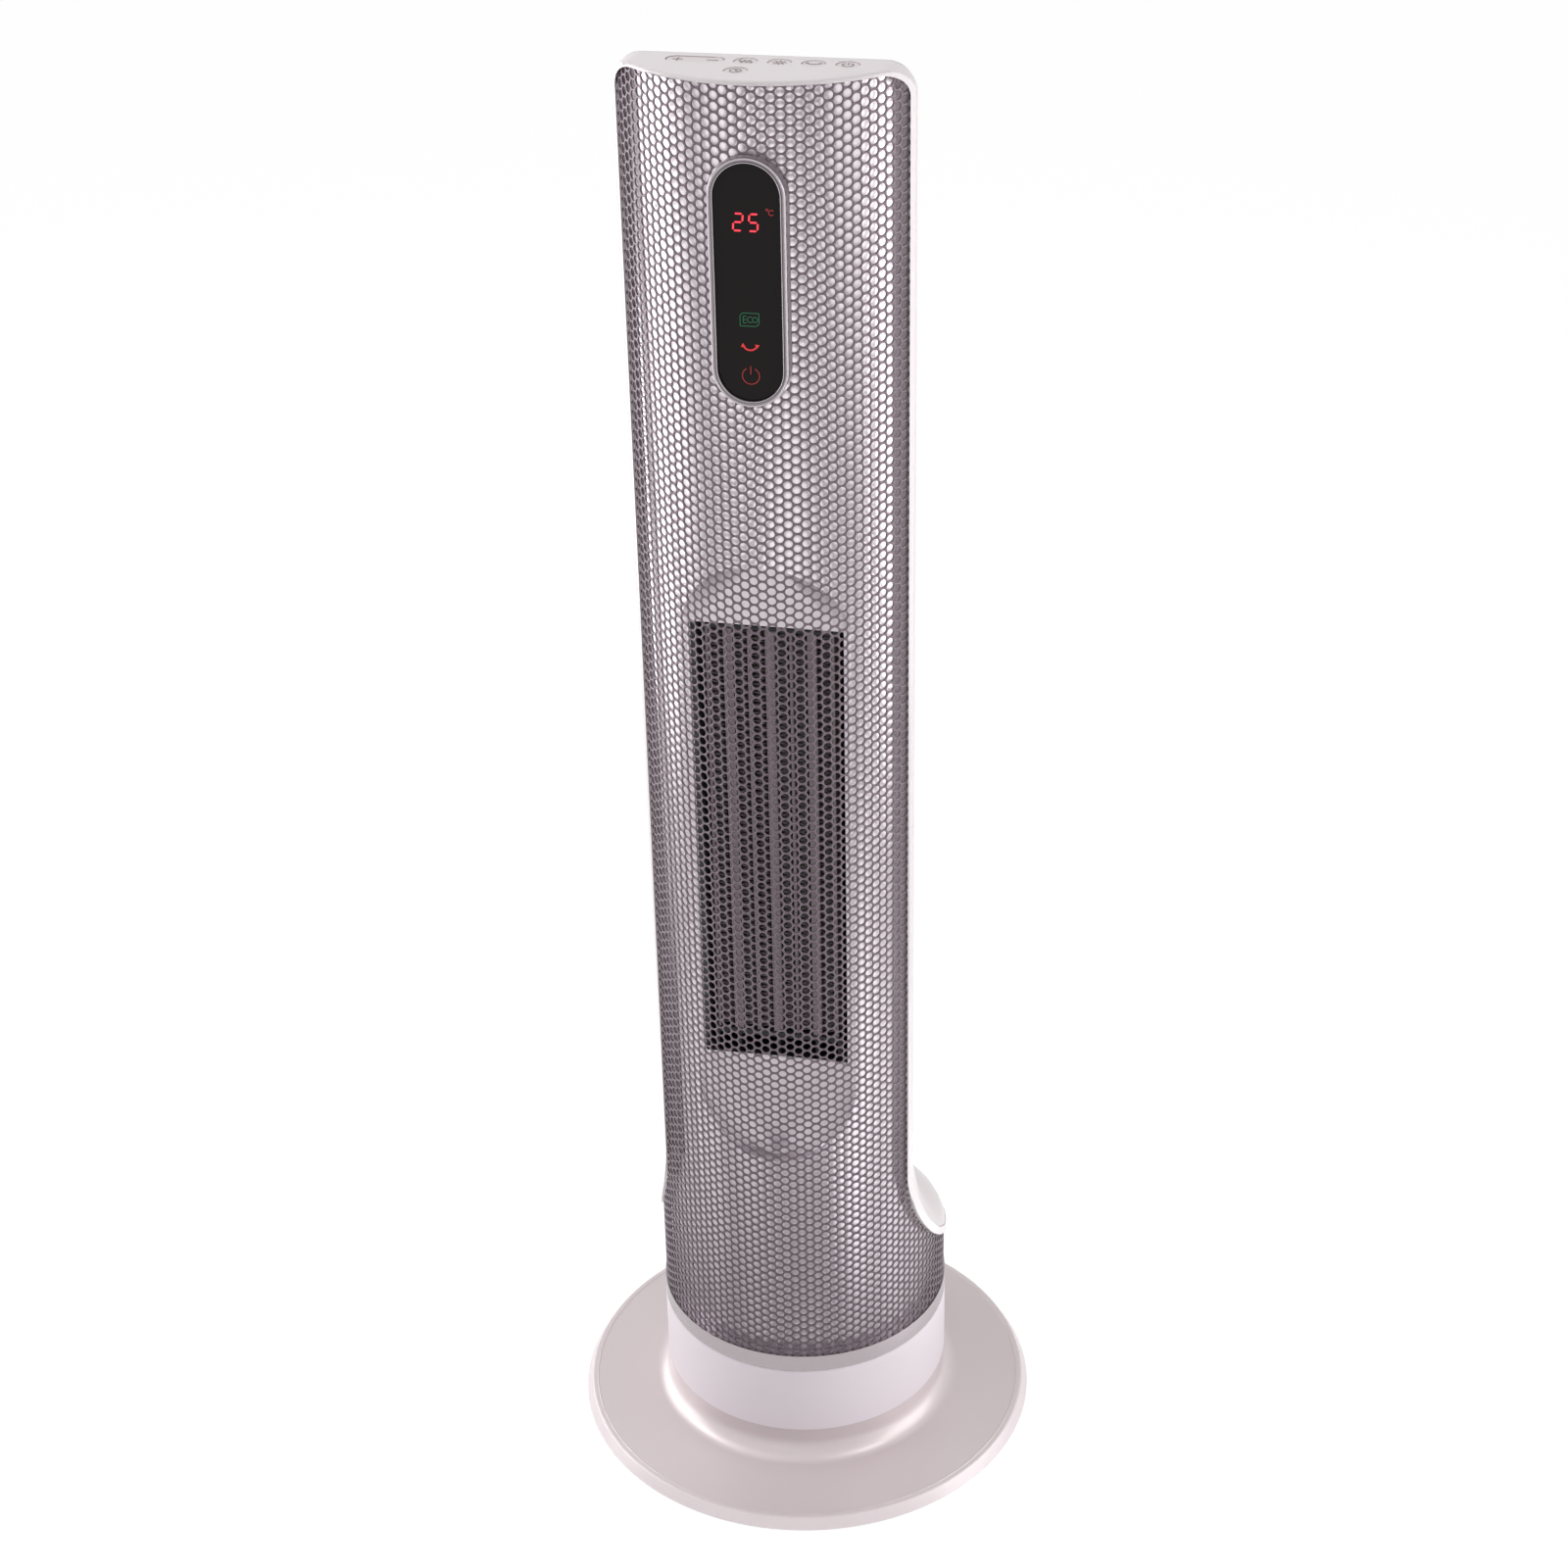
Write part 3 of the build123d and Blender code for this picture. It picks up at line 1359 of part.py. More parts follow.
# Main switch on the drum and tip-over switch in the base
def make_switches():
    h = switch_half_height
    w = switch_half_width
    z = switch_height
    back = switch_front - switch_depth
    inside_w = w - switch_bezel
    inside_h = h - switch_bezel
    housing = block(-w, w, switch_front - switch_bezel_depth, switch_front, z - h, z + h)
    housing = chamfer(housing.faces().sort_by(Axis.Y)[-1].edges(), switch_bezel / 2)
    housing = housing + block(
        -w, w, back, switch_front - switch_bezel_depth + press_gap, z - h + switch_wall, z + h - switch_wall
    )
    housing = housing - block(
        -inside_w, inside_w, back + switch_wall, switch_front + overrun, z - inside_h, z + inside_h
    )
    axis_y = switch_front - switch_axis_depth
    housing = housing - rod_x(
        switch_pin_radius + running_gap, axis_y, z, -inside_w - switch_pin_reach - seam_gap,
        inside_w + switch_pin_reach + seam_gap
    )
    export("main_switch", housing)
    half = inside_h - switch_rocker_trim
    face = switch_front + seam_gap
    profile = make_face(
        Polyline(
            (face, 0), (face + switch_rocker_bow, half), (face - switch_rocker_depth / 2, half),
            (axis_y - 2 * switch_pin_radius, switch_pin_radius),
            (axis_y - 2 * switch_pin_radius, -switch_pin_radius), (face - switch_rocker_depth / 2, -half),
            (face + switch_rocker_bow, -half), close=True
        )
    )
    rocker = extrude(Plane.YZ * profile, amount=inside_w - switch_rocker_gap, both=True)
    reach = inside_w + switch_pin_reach
    rocker = Pos(0, axis_y, z) * Rot(-switch_tilt, 0, 0) * Pos(0, -axis_y, 0) * rocker
    export("switch_rocker", rocker + rod_x(switch_pin_radius, axis_y, z, -reach, reach))

    low = cover_top + press_gap
    body = block(
        -tip_half_width, tip_half_width, tip_y - tip_half_depth, tip_y + tip_half_depth, low,
        low + tip_height
    )
    hollow = block(
        tip_wall - tip_half_width, tip_half_width - tip_wall, tip_y - tip_half_depth + tip_wall,
        tip_y + tip_half_depth - tip_wall, low + tip_wall, low + tip_height - tip_wall
    )
    body = body - hollow - disc(plunger_radius + plunger_gap, 0, low + tip_wall + press_gap, 0, tip_y)
    export("tip_switch", body)
    flange_low = low + tip_wall + plunger_travel + seam_gap
    plunger = disc(plunger_radius, plunger_floor_gap, low + tip_height - tip_wall - seam_gap, 0, tip_y)
    plunger = fillet(plunger.edges().group_by(Axis.Z)[0], plunger_radius / 2)
    export(
        "tip_plunger",
        plunger + disc(plunger_flange_radius, flange_low, flange_low + plunger_flange_height, 0, tip_y)
    )


os.makedirs("parts", exist_ok=True)
make_base()
make_pivot()
make_turntable()
make_front()
make_rear()
make_duct()
make_blower()
make_display()
board_screw_list = make_keys()
make_board(board_screw_list)
make_switches()
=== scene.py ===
import json
import math

import bmesh
import bpy
from mathutils import Matrix, Vector


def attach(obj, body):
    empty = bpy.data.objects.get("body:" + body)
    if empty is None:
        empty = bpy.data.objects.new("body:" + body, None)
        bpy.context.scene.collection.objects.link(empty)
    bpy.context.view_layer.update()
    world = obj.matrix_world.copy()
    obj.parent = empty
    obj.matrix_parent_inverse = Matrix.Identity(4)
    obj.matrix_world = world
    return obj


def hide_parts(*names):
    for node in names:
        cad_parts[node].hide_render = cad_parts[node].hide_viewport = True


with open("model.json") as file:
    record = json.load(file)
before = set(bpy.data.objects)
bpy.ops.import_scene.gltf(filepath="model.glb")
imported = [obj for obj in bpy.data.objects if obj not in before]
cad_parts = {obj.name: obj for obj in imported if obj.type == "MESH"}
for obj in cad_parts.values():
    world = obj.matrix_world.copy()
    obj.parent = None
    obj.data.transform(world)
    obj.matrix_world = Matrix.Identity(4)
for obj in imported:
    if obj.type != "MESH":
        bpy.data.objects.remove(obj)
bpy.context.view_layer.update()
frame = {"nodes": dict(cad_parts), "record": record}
nodes = frame["nodes"]
slotOf = {entry["node"]: entry["material_slot"] for entry in frame["record"]["subparts"]}
print("frame loaded,", len(nodes), "nodes")


# Materials

finishes = {
    "housing_white": {"colour": (0.83, 0.77, 0.785), "roughness": 0.30, "coat": 0.25},
    "collar_white": {"colour": (0.80, 0.735, 0.785), "roughness": 0.42},
    "plate_pearl": {"colour": (0.665, 0.59, 0.60), "roughness": 0.36, "metallic": 0.24, "coat": 0.22},
    "mesh_silver": {"colour": (0.165, 0.128, 0.150), "roughness": 0.42, "metallic": 0.45},
    "inner_silver": {"colour": (0.97, 0.895, 0.945), "roughness": 0.30, "metallic": 0.95},
    "band_silver": {"colour": (0.42, 0.375, 0.395), "roughness": 0.30, "metallic": 1.0},
    "bezel_silver": {"colour": (0.26, 0.23, 0.25), "roughness": 0.28, "metallic": 0.9},
    "lens_black": {"colour": (0.009, 0.006, 0.006), "roughness": 0.08, "specular": 0.13},
    "key_white": {"colour": (0.80, 0.73, 0.74), "roughness": 0.32},
    "rubber_dark": {"colour": (0.03, 0.03, 0.03), "roughness": 0.75},
    "plastic_black": {"colour": (0.025, 0.025, 0.027), "roughness": 0.45},
    "plastic_grey": {"colour": (0.22, 0.22, 0.23), "roughness": 0.5},
    "filter_dark": {"colour": (0.05, 0.05, 0.055), "roughness": 0.9},
    "steel": {"colour": (0.52, 0.52, 0.53), "roughness": 0.35, "metallic": 1.0},
    "ceramic_bar": {"colour": (0.33, 0.27, 0.285), "roughness": 0.5, "metallic": 0.2},
    "fin_metal": {"colour": (0.27, 0.235, 0.25), "roughness": 0.45, "metallic": 0.5},
    "wheel_grey": {"colour": (0.45, 0.45, 0.47), "roughness": 0.4, "metallic": 1.0},
    "brass": {"colour": (0.70, 0.50, 0.22), "roughness": 0.35, "metallic": 1.0},
    "copper_coil": {"colour": (0.60, 0.26, 0.10), "roughness": 0.35, "metallic": 1.0},
    "board_green": {"colour": (0.03, 0.16, 0.07), "roughness": 0.45},
    "acetal": {"colour": (0.80, 0.80, 0.76), "roughness": 0.4},
    "digit_red": {
        "colour": (0.55, 0.02, 0.03),
        "roughness": 0.4,
        "glow": (1.0, 0.045, 0.075),
        "strength": 1.25,
    },
    "icon_red": {
        "colour": (0.40, 0.02, 0.02),
        "roughness": 0.4,
        "glow": (1.0, 0.035, 0.035),
        "strength": 0.45,
    },
    "icon_dim_red": {
        "colour": (0.20, 0.01, 0.01),
        "roughness": 0.4,
        "glow": (1.0, 0.04, 0.04),
        "strength": 0.22,
    },
    "icon_green": {
        "colour": (0.0, 0.05, 0.02),
        "roughness": 0.4,
        "glow": (0.0, 0.55, 0.20),
        "strength": 0.17,
    },
    "icon_grey": {"colour": (0.25, 0.21, 0.225), "roughness": 0.5},
    # painted shade for hidden sides that should look dark
    "painted_shade_black": {"colour": (0.030, 0.024, 0.026), "roughness": 0.6},
    # silver of the hidden ledge, with painted shade at its outer edge from its tint
    "ledge_silver": {"colour": (0.90, 0.82, 0.87), "roughness": 0.32, "metallic": 0.8},
    "bead_silver": {"colour": (0.50, 0.46, 0.485), "roughness": 0.26, "metallic": 0.9},
}
# what a finish has where it says nothing else
usual = {"metallic": 0, "coat": 0, "coatRoughness": 0.06, "specular": 0.5}
# fine grain in roughness and relief; squeezed along Z, it runs round the band in fine lines
grains = {
    "housing_white": {"scale": 700, "roughness": (0.26, 0.36), "relief": 0.03, "depth": 0.0002},
    "collar_white": {"scale": 1500, "roughness": (0.38, 0.48), "relief": 0.04, "depth": 0.0001},
    "key_white": {"scale": 900, "roughness": (0.28, 0.38), "relief": 0.03, "depth": 0.0001},
    "band_silver": {
        "scale": 160,
        "squeeze": (1, 1, 30),
        "roughness": (0.24, 0.34),
        "relief": 0.03,
        "depth": 0.0002,
    },
    "bezel_silver": {"scale": 1200, "roughness": (0.26, 0.36), "relief": 0.02, "depth": 0.0001},
    "plate_pearl": {"scale": 2600, "roughness": (0.30, 0.40), "relief": 0.03, "depth": 0.0002},
    "mesh_silver": {"scale": 2200, "roughness": (0.36, 0.50), "relief": 0.05, "depth": 0.0001},
    "inner_silver": {"scale": 500, "roughness": (0.26, 0.36), "relief": 0.03, "depth": 0.0002},
    "ceramic_bar": {"scale": 900, "roughness": (0.42, 0.60), "relief": 0.08, "depth": 0.0002},
    "fin_metal": {"scale": 800, "roughness": (0.38, 0.55), "relief": 0.04, "depth": 0.0001},
    "filter_dark": {"scale": 1800, "roughness": (0.85, 0.98), "relief": 0.5, "depth": 0.0006},
    "rubber_dark": {"scale": 1400, "roughness": (0.68, 0.85), "relief": 0.15, "depth": 0.0002},
    "plastic_black": {"scale": 1300, "roughness": (0.38, 0.52), "relief": 0.08, "depth": 0.0002},
}


def newMaterial(name, values):
    values = usual | values
    mat = bpy.data.materials.new(name)
    mat.use_nodes = True
    shader = mat.node_tree.nodes["Principled BSDF"]
    shader.inputs["Base Color"].default_value = (*values["colour"], 1)
    shader.inputs["Roughness"].default_value = values["roughness"]
    shader.inputs["Metallic"].default_value = values["metallic"]
    shader.inputs["Coat Weight"].default_value = values["coat"]
    shader.inputs["Coat Roughness"].default_value = values["coatRoughness"]
    shader.inputs["Specular IOR Level"].default_value = values["specular"]
    if "glow" in values:
        shader.inputs["Emission Color"].default_value = (*values["glow"], 1)
        shader.inputs["Emission Strength"].default_value = values["strength"]
    return mat


def addGrain(mat, grain):
    tree = mat.node_tree
    shader = tree.nodes["Principled BSDF"]
    place = tree.nodes.new("ShaderNodeTexCoord")
    squeeze = tree.nodes.new("ShaderNodeMapping")
    squeeze.inputs["Scale"].default_value = grain.get("squeeze", (1, 1, 1))
    noise = tree.nodes.new("ShaderNodeTexNoise")
    noise.inputs["Scale"].default_value = grain["scale"]
    noise.inputs["Detail"].default_value = 3
    spread = tree.nodes.new("ShaderNodeMapRange")
    spread.inputs["To Min"].default_value = grain["roughness"][0]
    spread.inputs["To Max"].default_value = grain["roughness"][1]
    bump = tree.nodes.new("ShaderNodeBump")
    bump.inputs["Strength"].default_value = grain["relief"]
    bump.inputs["Distance"].default_value = grain["depth"]
    tree.links.new(place.outputs["Object"], squeeze.inputs["Vector"])
    tree.links.new(squeeze.outputs["Vector"], noise.inputs["Vector"])
    tree.links.new(noise.outputs["Fac"], spread.inputs["Value"])
    tree.links.new(spread.outputs["Result"], shader.inputs["Roughness"])
    tree.links.new(noise.outputs["Fac"], bump.inputs["Height"])
    tree.links.new(bump.outputs["Normal"], shader.inputs["Normal"])


# a finish that changes to a second colour, with the distance from the upright axis where
# along is (1, 1, 0), and with height where it is (0, 0, 1)
# the tints of the ledge, the inner shell and the perforated sheet are painted shade; the plate's paler rim is
# its own
tints = {
    "plate_pearl": {
        "along": (1, 1, 0),
        "from": 0.1245,
        "to": 0.1285,
        "colour": (0.80, 0.72, 0.74),
        "metallic": 0.1,
    },
    # painted shade: the outer edge of the hidden ledge turns near black
    "ledge_silver": {
        "along": (1, 1, 0),
        "from": 0.0782,
        "to": 0.0794,
        "colour": (0.03, 0.024, 0.026),
        "metallic": 0,
    },
    # painted shade: the inner shell grows darker towards the bottom
    "inner_silver": {
        "along": (0, 0, 1),
        "from": 0.36,
        "to": 0.08,
        "colour": (0.60, 0.54, 0.585),
    },
    # painted shade: the perforated sheet grows darker towards the bottom
    "mesh_silver": {
        "along": (0, 0, 1),
        "from": 0.36,
        "to": 0.08,
        "colour": (0.130, 0.100, 0.118),
    },
}


def addTint(mat, tint):
    tree = mat.node_tree
    shader = tree.nodes["Principled BSDF"]
    place = tree.nodes.new("ShaderNodeTexCoord")
    flat = tree.nodes.new("ShaderNodeVectorMath")
    flat.operation = "MULTIPLY"
    flat.inputs[1].default_value = tint["along"]
    reach = tree.nodes.new("ShaderNodeVectorMath")
    reach.operation = "LENGTH"
    share = tree.nodes.new("ShaderNodeMapRange")
    share.interpolation_type = "SMOOTHSTEP"
    share.inputs["From Min"].default_value = tint["from"]
    share.inputs["From Max"].default_value = tint["to"]
    mix = tree.nodes.new("ShaderNodeMix")
    mix.data_type = "RGBA"
    mix.inputs["A"].default_value = shader.inputs["Base Color"].default_value
    mix.inputs["B"].default_value = (*tint["colour"], 1)
    tree.links.new(place.outputs["Object"], flat.inputs[0])
    tree.links.new(flat.outputs["Vector"], reach.inputs[0])
    tree.links.new(reach.outputs["Value"], share.inputs["Value"])
    tree.links.new(share.outputs["Result"], mix.inputs["Factor"])
    tree.links.new(mix.outputs["Result"], shader.inputs["Base Color"])
    if "metallic" in tint:
        metal = tree.nodes.new("ShaderNodeMapRange")
        metal.inputs["To Min"].default_value = shader.inputs["Metallic"].default_value
        metal.inputs["To Max"].default_value = tint["metallic"]
        tree.links.new(share.outputs["Result"], metal.inputs["Value"])
        tree.links.new(metal.outputs["Result"], shader.inputs["Metallic"])


paint = {name: newMaterial(name, values) for name, values in finishes.items()}
for name, grain in grains.items():
    addGrain(paint[name], grain)
for name, tint in tints.items():
    addTint(paint[name], tint)


def dress(obj, name):
    obj.data.materials.clear()
    obj.data.materials.append(paint[name])


paintedLightFinish = {"turntable": "inner_silver"}  # painted light: the turntable takes the light inner shell silver in place of its own finish, so the disc seen through the lowest holes looks lit
for name, obj in nodes.items():
    dress(obj, paintedLightFinish.get(name, slotOf[name]))
print("materials made,", len(paint))


# Shared steps

def newPiece(bm, name, body, finish, smoothAngle=30):
    mesh = bpy.data.meshes.new(name)
    bm.to_mesh(mesh)
    bm.free()
    mesh.polygons.foreach_set("use_smooth", [True] * len(mesh.polygons))
    mesh.set_sharp_from_angle(angle=math.radians(smoothAngle))
    obj = bpy.data.objects.new(name, mesh)
    bpy.context.scene.collection.objects.link(obj)
    dress(obj, finish)
    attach(obj, body)
    return obj


smoothing = {"smoothAngle": 32, "merge": 1e-6}  # corners as close as merge become one


def smoothCopy(name, body):
    # the node's own form, with its triangles joined so that curves shade smoothly
    bm = bmesh.new()
    bm.from_mesh(nodes[name].data)
    bmesh.ops.remove_doubles(bm, verts=bm.verts, dist=smoothing["merge"])
    obj = newPiece(bm, name + "_skin", body, slotOf[name], smoothing["smoothAngle"])
    flat = obj.modifiers.new("flat faces keep their shade", "WEIGHTED_NORMAL")
    flat.keep_sharp = True
    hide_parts(name)
    return obj


keys = ("plus_minus_key", "key_heat", "key_mode", "key_swing", "key_power", "key_timer")
smoothNodes = {
    "base": ["collar", "base_plate", "cord_gland", "rubber_feet"],
    "tower": ["front_frame", "rear_shell", "trim_band", "display_bezel", "display_lens", "inner_shell"],
    **{key: [key] for key in keys},
}
skins = {name: smoothCopy(name, body) for body, names in smoothNodes.items() for name in names}


def shadeInside(obj, finish, inside):
    # faces with every corner inside have a second finish, which carries painted shade
    obj.data.materials.append(paint[finish])
    corners = obj.data.vertices
    for face in obj.data.polygons:
        if all(inside(corners[i].co) for i in face.vertices):
            face.material_index = 1


ledge = {"outer": 0.0803, "top": 0.7981}  # what lies behind the perforated front, where shade is painted


def behindMesh(corner):
    return math.hypot(corner.x, corner.y) < ledge["outer"]


# painted shade: the frame's faces behind the perforated front take the ledge silver, near black at its outer
# edge
shadeInside(skins["front_frame"], "ledge_silver", lambda c: behindMesh(c) and c.z < ledge["top"])
# painted shade: the bezel's sides behind the perforated front are black
shadeInside(skins["display_bezel"], "painted_shade_black", behindMesh)
print("smooth copies made,", len(skins))


# A sloped strip on the left that leads from the inner shell out to the frame, behind the outer holes

liner = {
    "inner": (-0.0560, -0.0507),
    "outer": (-0.0652, -0.0440),
    "low": 0.1920,
    "high": 0.7955,
    "thickness": 0.0004,
}


def makeLiner():
    bm = bmesh.new()
    (x0, y0), (x1, y1) = liner["inner"], liner["outer"]
    low = bm.verts.new((x0, y0, liner["low"]))
    high = bm.verts.new((x0, y0, liner["high"]))
    edge = bm.edges.new((low, high))
    drawn = bmesh.ops.extrude_edge_only(bm, edges=[edge])["geom"]
    moved = [v for v in drawn if isinstance(v, bmesh.types.BMVert)]
    bmesh.ops.translate(bm, verts=moved, vec=(x1 - x0, y1 - y0, 0))
    bm.normal_update()
    turned = [f for f in bm.faces if f.normal.y > 0]  # the strip faces the front
    bmesh.ops.reverse_faces(bm, faces=turned)
    obj = newPiece(bm, "linerStrip", "tower", "inner_silver")
    wall = obj.modifiers.new("strip thickness", "SOLIDIFY")
    wall.thickness = liner["thickness"]
    wall.offset = -1


makeLiner()


# Bright beads on the edges of the display ring

ring = {
    "low": 0.6674,
    "high": 0.7483,
    "face": -0.0823,
    "beads": {
        "ringOuterBead": {"halfWidth": 0.01745, "radius": 0.00045},
        "ringInnerBead": {"halfWidth": 0.01570, "radius": 0.00025},
    },
    "sides": 10,
    "steps": 24,
    "merge": 1e-5,
}


def makeBead(name, halfWidth, radius):
    # a round section goes over the top end, down one side, under the bottom end and up the other side
    bm = bmesh.new()
    start = bmesh.ops.create_circle(bm, segments=ring["sides"], radius=radius)["verts"]
    bmesh.ops.translate(bm, verts=start, vec=(halfWidth, ring["face"], ring["high"]))
    loop = list({e for v in start for e in v.link_edges})
    for here, there in (("high", "low"), ("low", "high")):
        turned = bmesh.ops.spin(
            bm,
            geom=loop,
            cent=(0, ring["face"], ring[here]),
            axis=(0, -1, 0),
            angle=math.radians(180),
            steps=ring["steps"],
            use_merge=False,
        )["geom_last"]
        ends = [e for e in turned if isinstance(e, bmesh.types.BMEdge)]
        drawn = bmesh.ops.extrude_edge_only(bm, edges=ends)["geom"]
        moved = [v for v in drawn if isinstance(v, bmesh.types.BMVert)]
        bmesh.ops.translate(bm, verts=moved, vec=(0, 0, ring[there] - ring[here]))
        loop = [e for e in drawn if isinstance(e, bmesh.types.BMEdge)]
    bmesh.ops.remove_doubles(bm, verts=bm.verts, dist=ring["merge"])
    bmesh.ops.recalc_face_normals(bm, faces=bm.faces)
    newPiece(bm, name, "tower", "bead_silver", smoothAngle=60)


for name, bead in ring["beads"].items():
    makeBead(name, **bead)
print("display ring beads made")


# A fine raised line just inside the rim of the base plate

rim = {"radius": 0.1245, "height": 0.0069, "bead": 0.00045, "sides": 8, "steps": 144}


def makeRimLine():
    bm = bmesh.new()
    start = bmesh.ops.create_circle(bm, segments=rim["sides"], radius=rim["bead"])["verts"]
    bmesh.ops.rotate(bm, verts=start, matrix=Matrix.Rotation(math.radians(90), 3, "X"))
    bmesh.ops.translate(bm, verts=start, vec=(rim["radius"], 0, rim["height"]))
    section = list(bm.verts) + list(bm.edges)
    bmesh.ops.spin(
        bm, geom=section, cent=(0, 0, 0), axis=(0, 0, 1), angle=math.tau, steps=rim["steps"], use_merge=True
    )
    bmesh.ops.recalc_face_normals(bm, faces=bm.faces)
    newPiece(bm, "rimLine", "base", "plate_pearl", smoothAngle=60)


makeRimLine()
print("rim line made")


# Perforated front: a flat sheet of round holes, trimmed on its outline and then bent round

sheet = {
    "radius": 0.0806,
    "thickness": 0.0007,
    "pitch": 0.005,
    "hole": 0.00425,  # its diameter
    "sides": 12,
    "columnAngle": 3.069,  # this and the next in degrees
    "firstAngle": 23.46,
    "firstHeight": 0.6301,
    "bottom": 0.0838,
    "top": 0.7976,
    "halfWidth": 0.0674,
    "cornerRadius": 0.0116,
    "scoopCentre": (0.0365, 0.190),
    "scoopRadius": 0.0804,
    "legStart": 0.038,
    "legCorner": 0.0058,
    "slotHalfWidth": 0.0188,
    "slotBottom": 0.6486,
    "slotTop": 0.7671,
    "widest": 125,  # how far round the columns go each way, in degrees
    "farthest": 150,  # how far round a corner is looked at, in degrees
    "cuts": (0.315, 0.556),  # the heights at which the sheet is split into three pieces
    "merge": 2e-5,  # corners closer than this are joined
    "sliver": 1e-5,  # edges shorter than this are dissolved
    "unmoved": 1e-9,  # a corner that moved less than this has stayed
    "offCentre": 1e-7,  # the least distance from the middle of the slot
}


def holeCell(bm):
    # one six-sided cell of the sheet with its hole, upright in the XZ plane
    bmesh.ops.create_circle(bm, segments=sheet["sides"], radius=sheet["hole"] / 2)
    outer = bmesh.ops.create_circle(bm, segments=6, radius=sheet["pitch"] / math.sqrt(3))
    edges = list({e for v in outer["verts"] for e in v.link_edges})
    bmesh.ops.rotate(bm, verts=outer["verts"], matrix=Matrix.Rotation(math.radians(30), 3, "Z"))
    bmesh.ops.subdivide_edges(bm, edges=edges, cuts=1)
    bmesh.ops.bridge_loops(bm, edges=bm.edges)
    bmesh.ops.rotate(bm, verts=bm.verts, matrix=Matrix.Rotation(math.radians(90), 3, "X"))


def towards(x, z, cx, cz, radius):
    away = math.hypot(x - cx, z - cz)
    return cx + (x - cx) * radius / away, cz + (z - cz) * radius / away


def clearOfScoop(y, z):
    # the nearest place in the side view that is clear of the scoop, in front of its curve or under it
    cy, cz = sheet["scoopCentre"]
    floorZ = cz - sheet["scoopRadius"]
    corner = sheet["legCorner"]
    if z >= cz:
        return y, z
    if y < cy:
        if math.hypot(y - cy, z - cz) < sheet["scoopRadius"]:
            return towards(y, z, cy, cz, sheet["scoopRadius"])
        return y, z
    if y < sheet["legStart"]:
        return y, min(z, floorZ)
    y = min(y, sheet["legStart"] + corner)
    z = min(z, floorZ)
    if z > floorZ - corner and math.hypot(y - sheet["legStart"], z - floorZ + corner) > corner:
        return towards(y, z, sheet["legStart"], floorZ - corner, corner)
    return y, z


def trimmed(u, z):
    # the nearest place on the sheet for a point of the endless pattern
    radius = sheet["radius"]
    side = math.copysign(1, u)
    limit = sheet["halfWidth"]
    corner = sheet["cornerRadius"]
    half = sheet["slotHalfWidth"]
    z = min(max(z, sheet["bottom"]), sheet["top"])
    angle = min(abs(u) / radius, math.radians(sheet["farthest"]))
    if z >= sheet["scoopCentre"][1]:
        angle = min(angle, math.asin(limit / radius))
    else:
        y, z = clearOfScoop(-radius * math.cos(angle), z)
        angle = math.acos(min(max(-y / radius, -1), 1))
    x = radius * math.sin(angle)
    inCorner = z > sheet["top"] - corner and x > limit - corner
    if inCorner and math.hypot(x - limit + corner, z - sheet["top"] + corner) > corner:
        x, z = towards(x, z, limit - corner, sheet["top"] - corner, corner)
        angle = math.asin(x / radius)
    middle = min(max(z, sheet["slotBottom"] + half), sheet["slotTop"] - half)
    if math.hypot(x, z - middle) < half and z > sheet["scoopCentre"][1]:
        x, z = towards(max(x, sheet["offCentre"]), z, 0, middle, half)
        angle = math.asin(x / radius)
    return side * angle * radius, z


def sheetColumn(index, cell, places):
    # the cells of one column that lie on the sheet, cut back to its outline
    radius = sheet["radius"]
    u = math.radians(sheet["firstAngle"] + index * sheet["columnAngle"]) * radius
    lift = sheet["pitch"] / 2 if index % 2 else 0
    # a spare row or two beyond each end
    below = int((sheet["firstHeight"] - sheet["bottom"]) / sheet["pitch"]) + 1
    rows = int((sheet["top"] - sheet["bottom"]) / sheet["pitch"]) + 3
    bm = bmesh.new()
    for row in range(rows):
        z = sheet["firstHeight"] + lift + (row - below) * sheet["pitch"]
        whole = [(u + dx, z + dz) for dx, dz in places]
        cut = [trimmed(*place) for place in whole]
        # a cell whose every corner had to move lies off the sheet
        if not any(math.dist(a, b) < sheet["unmoved"] for a, b in zip(whole, cut)):
            continue
        start = len(bm.verts)
        bm.from_mesh(cell)
        bm.verts.ensure_lookup_table()
        for i, place in enumerate(cut):
            bm.verts[start + i].co = (place[0], 0, place[1])
    mesh = bpy.data.meshes.new("column")
    bm.to_mesh(mesh)
    bm.free()
    return mesh


def flatSheet():
    bm = bmesh.new()
    holeCell(bm)
    cell = bpy.data.meshes.new("holeCell")
    bm.to_mesh(cell)
    bm.free()
    # the columns stand a little closer than a regular hexagon allows
    step = math.radians(sheet["columnAngle"]) * sheet["radius"]
    squeeze = step / (sheet["pitch"] * math.cos(math.radians(30)))
    places = [(v.co.x * squeeze, v.co.z) for v in cell.vertices]
    bm = bmesh.new()
    first = -int((sheet["widest"] + sheet["firstAngle"]) / sheet["columnAngle"])
    last = int((sheet["widest"] - sheet["firstAngle"]) / sheet["columnAngle"])
    for index in range(first, last + 1):
        column = sheetColumn(index, cell, places)
        bm.from_mesh(column)
        bpy.data.meshes.remove(column)
    bmesh.ops.remove_doubles(bm, verts=bm.verts, dist=sheet["merge"])
    bmesh.ops.dissolve_degenerate(bm, dist=sheet["sliver"], edges=bm.edges)
    print("sheet pattern made,", len(bm.faces), "faces")
    flat = bpy.data.meshes.new("flatSheet")
    bm.to_mesh(flat)
    bm.free()
    return flat


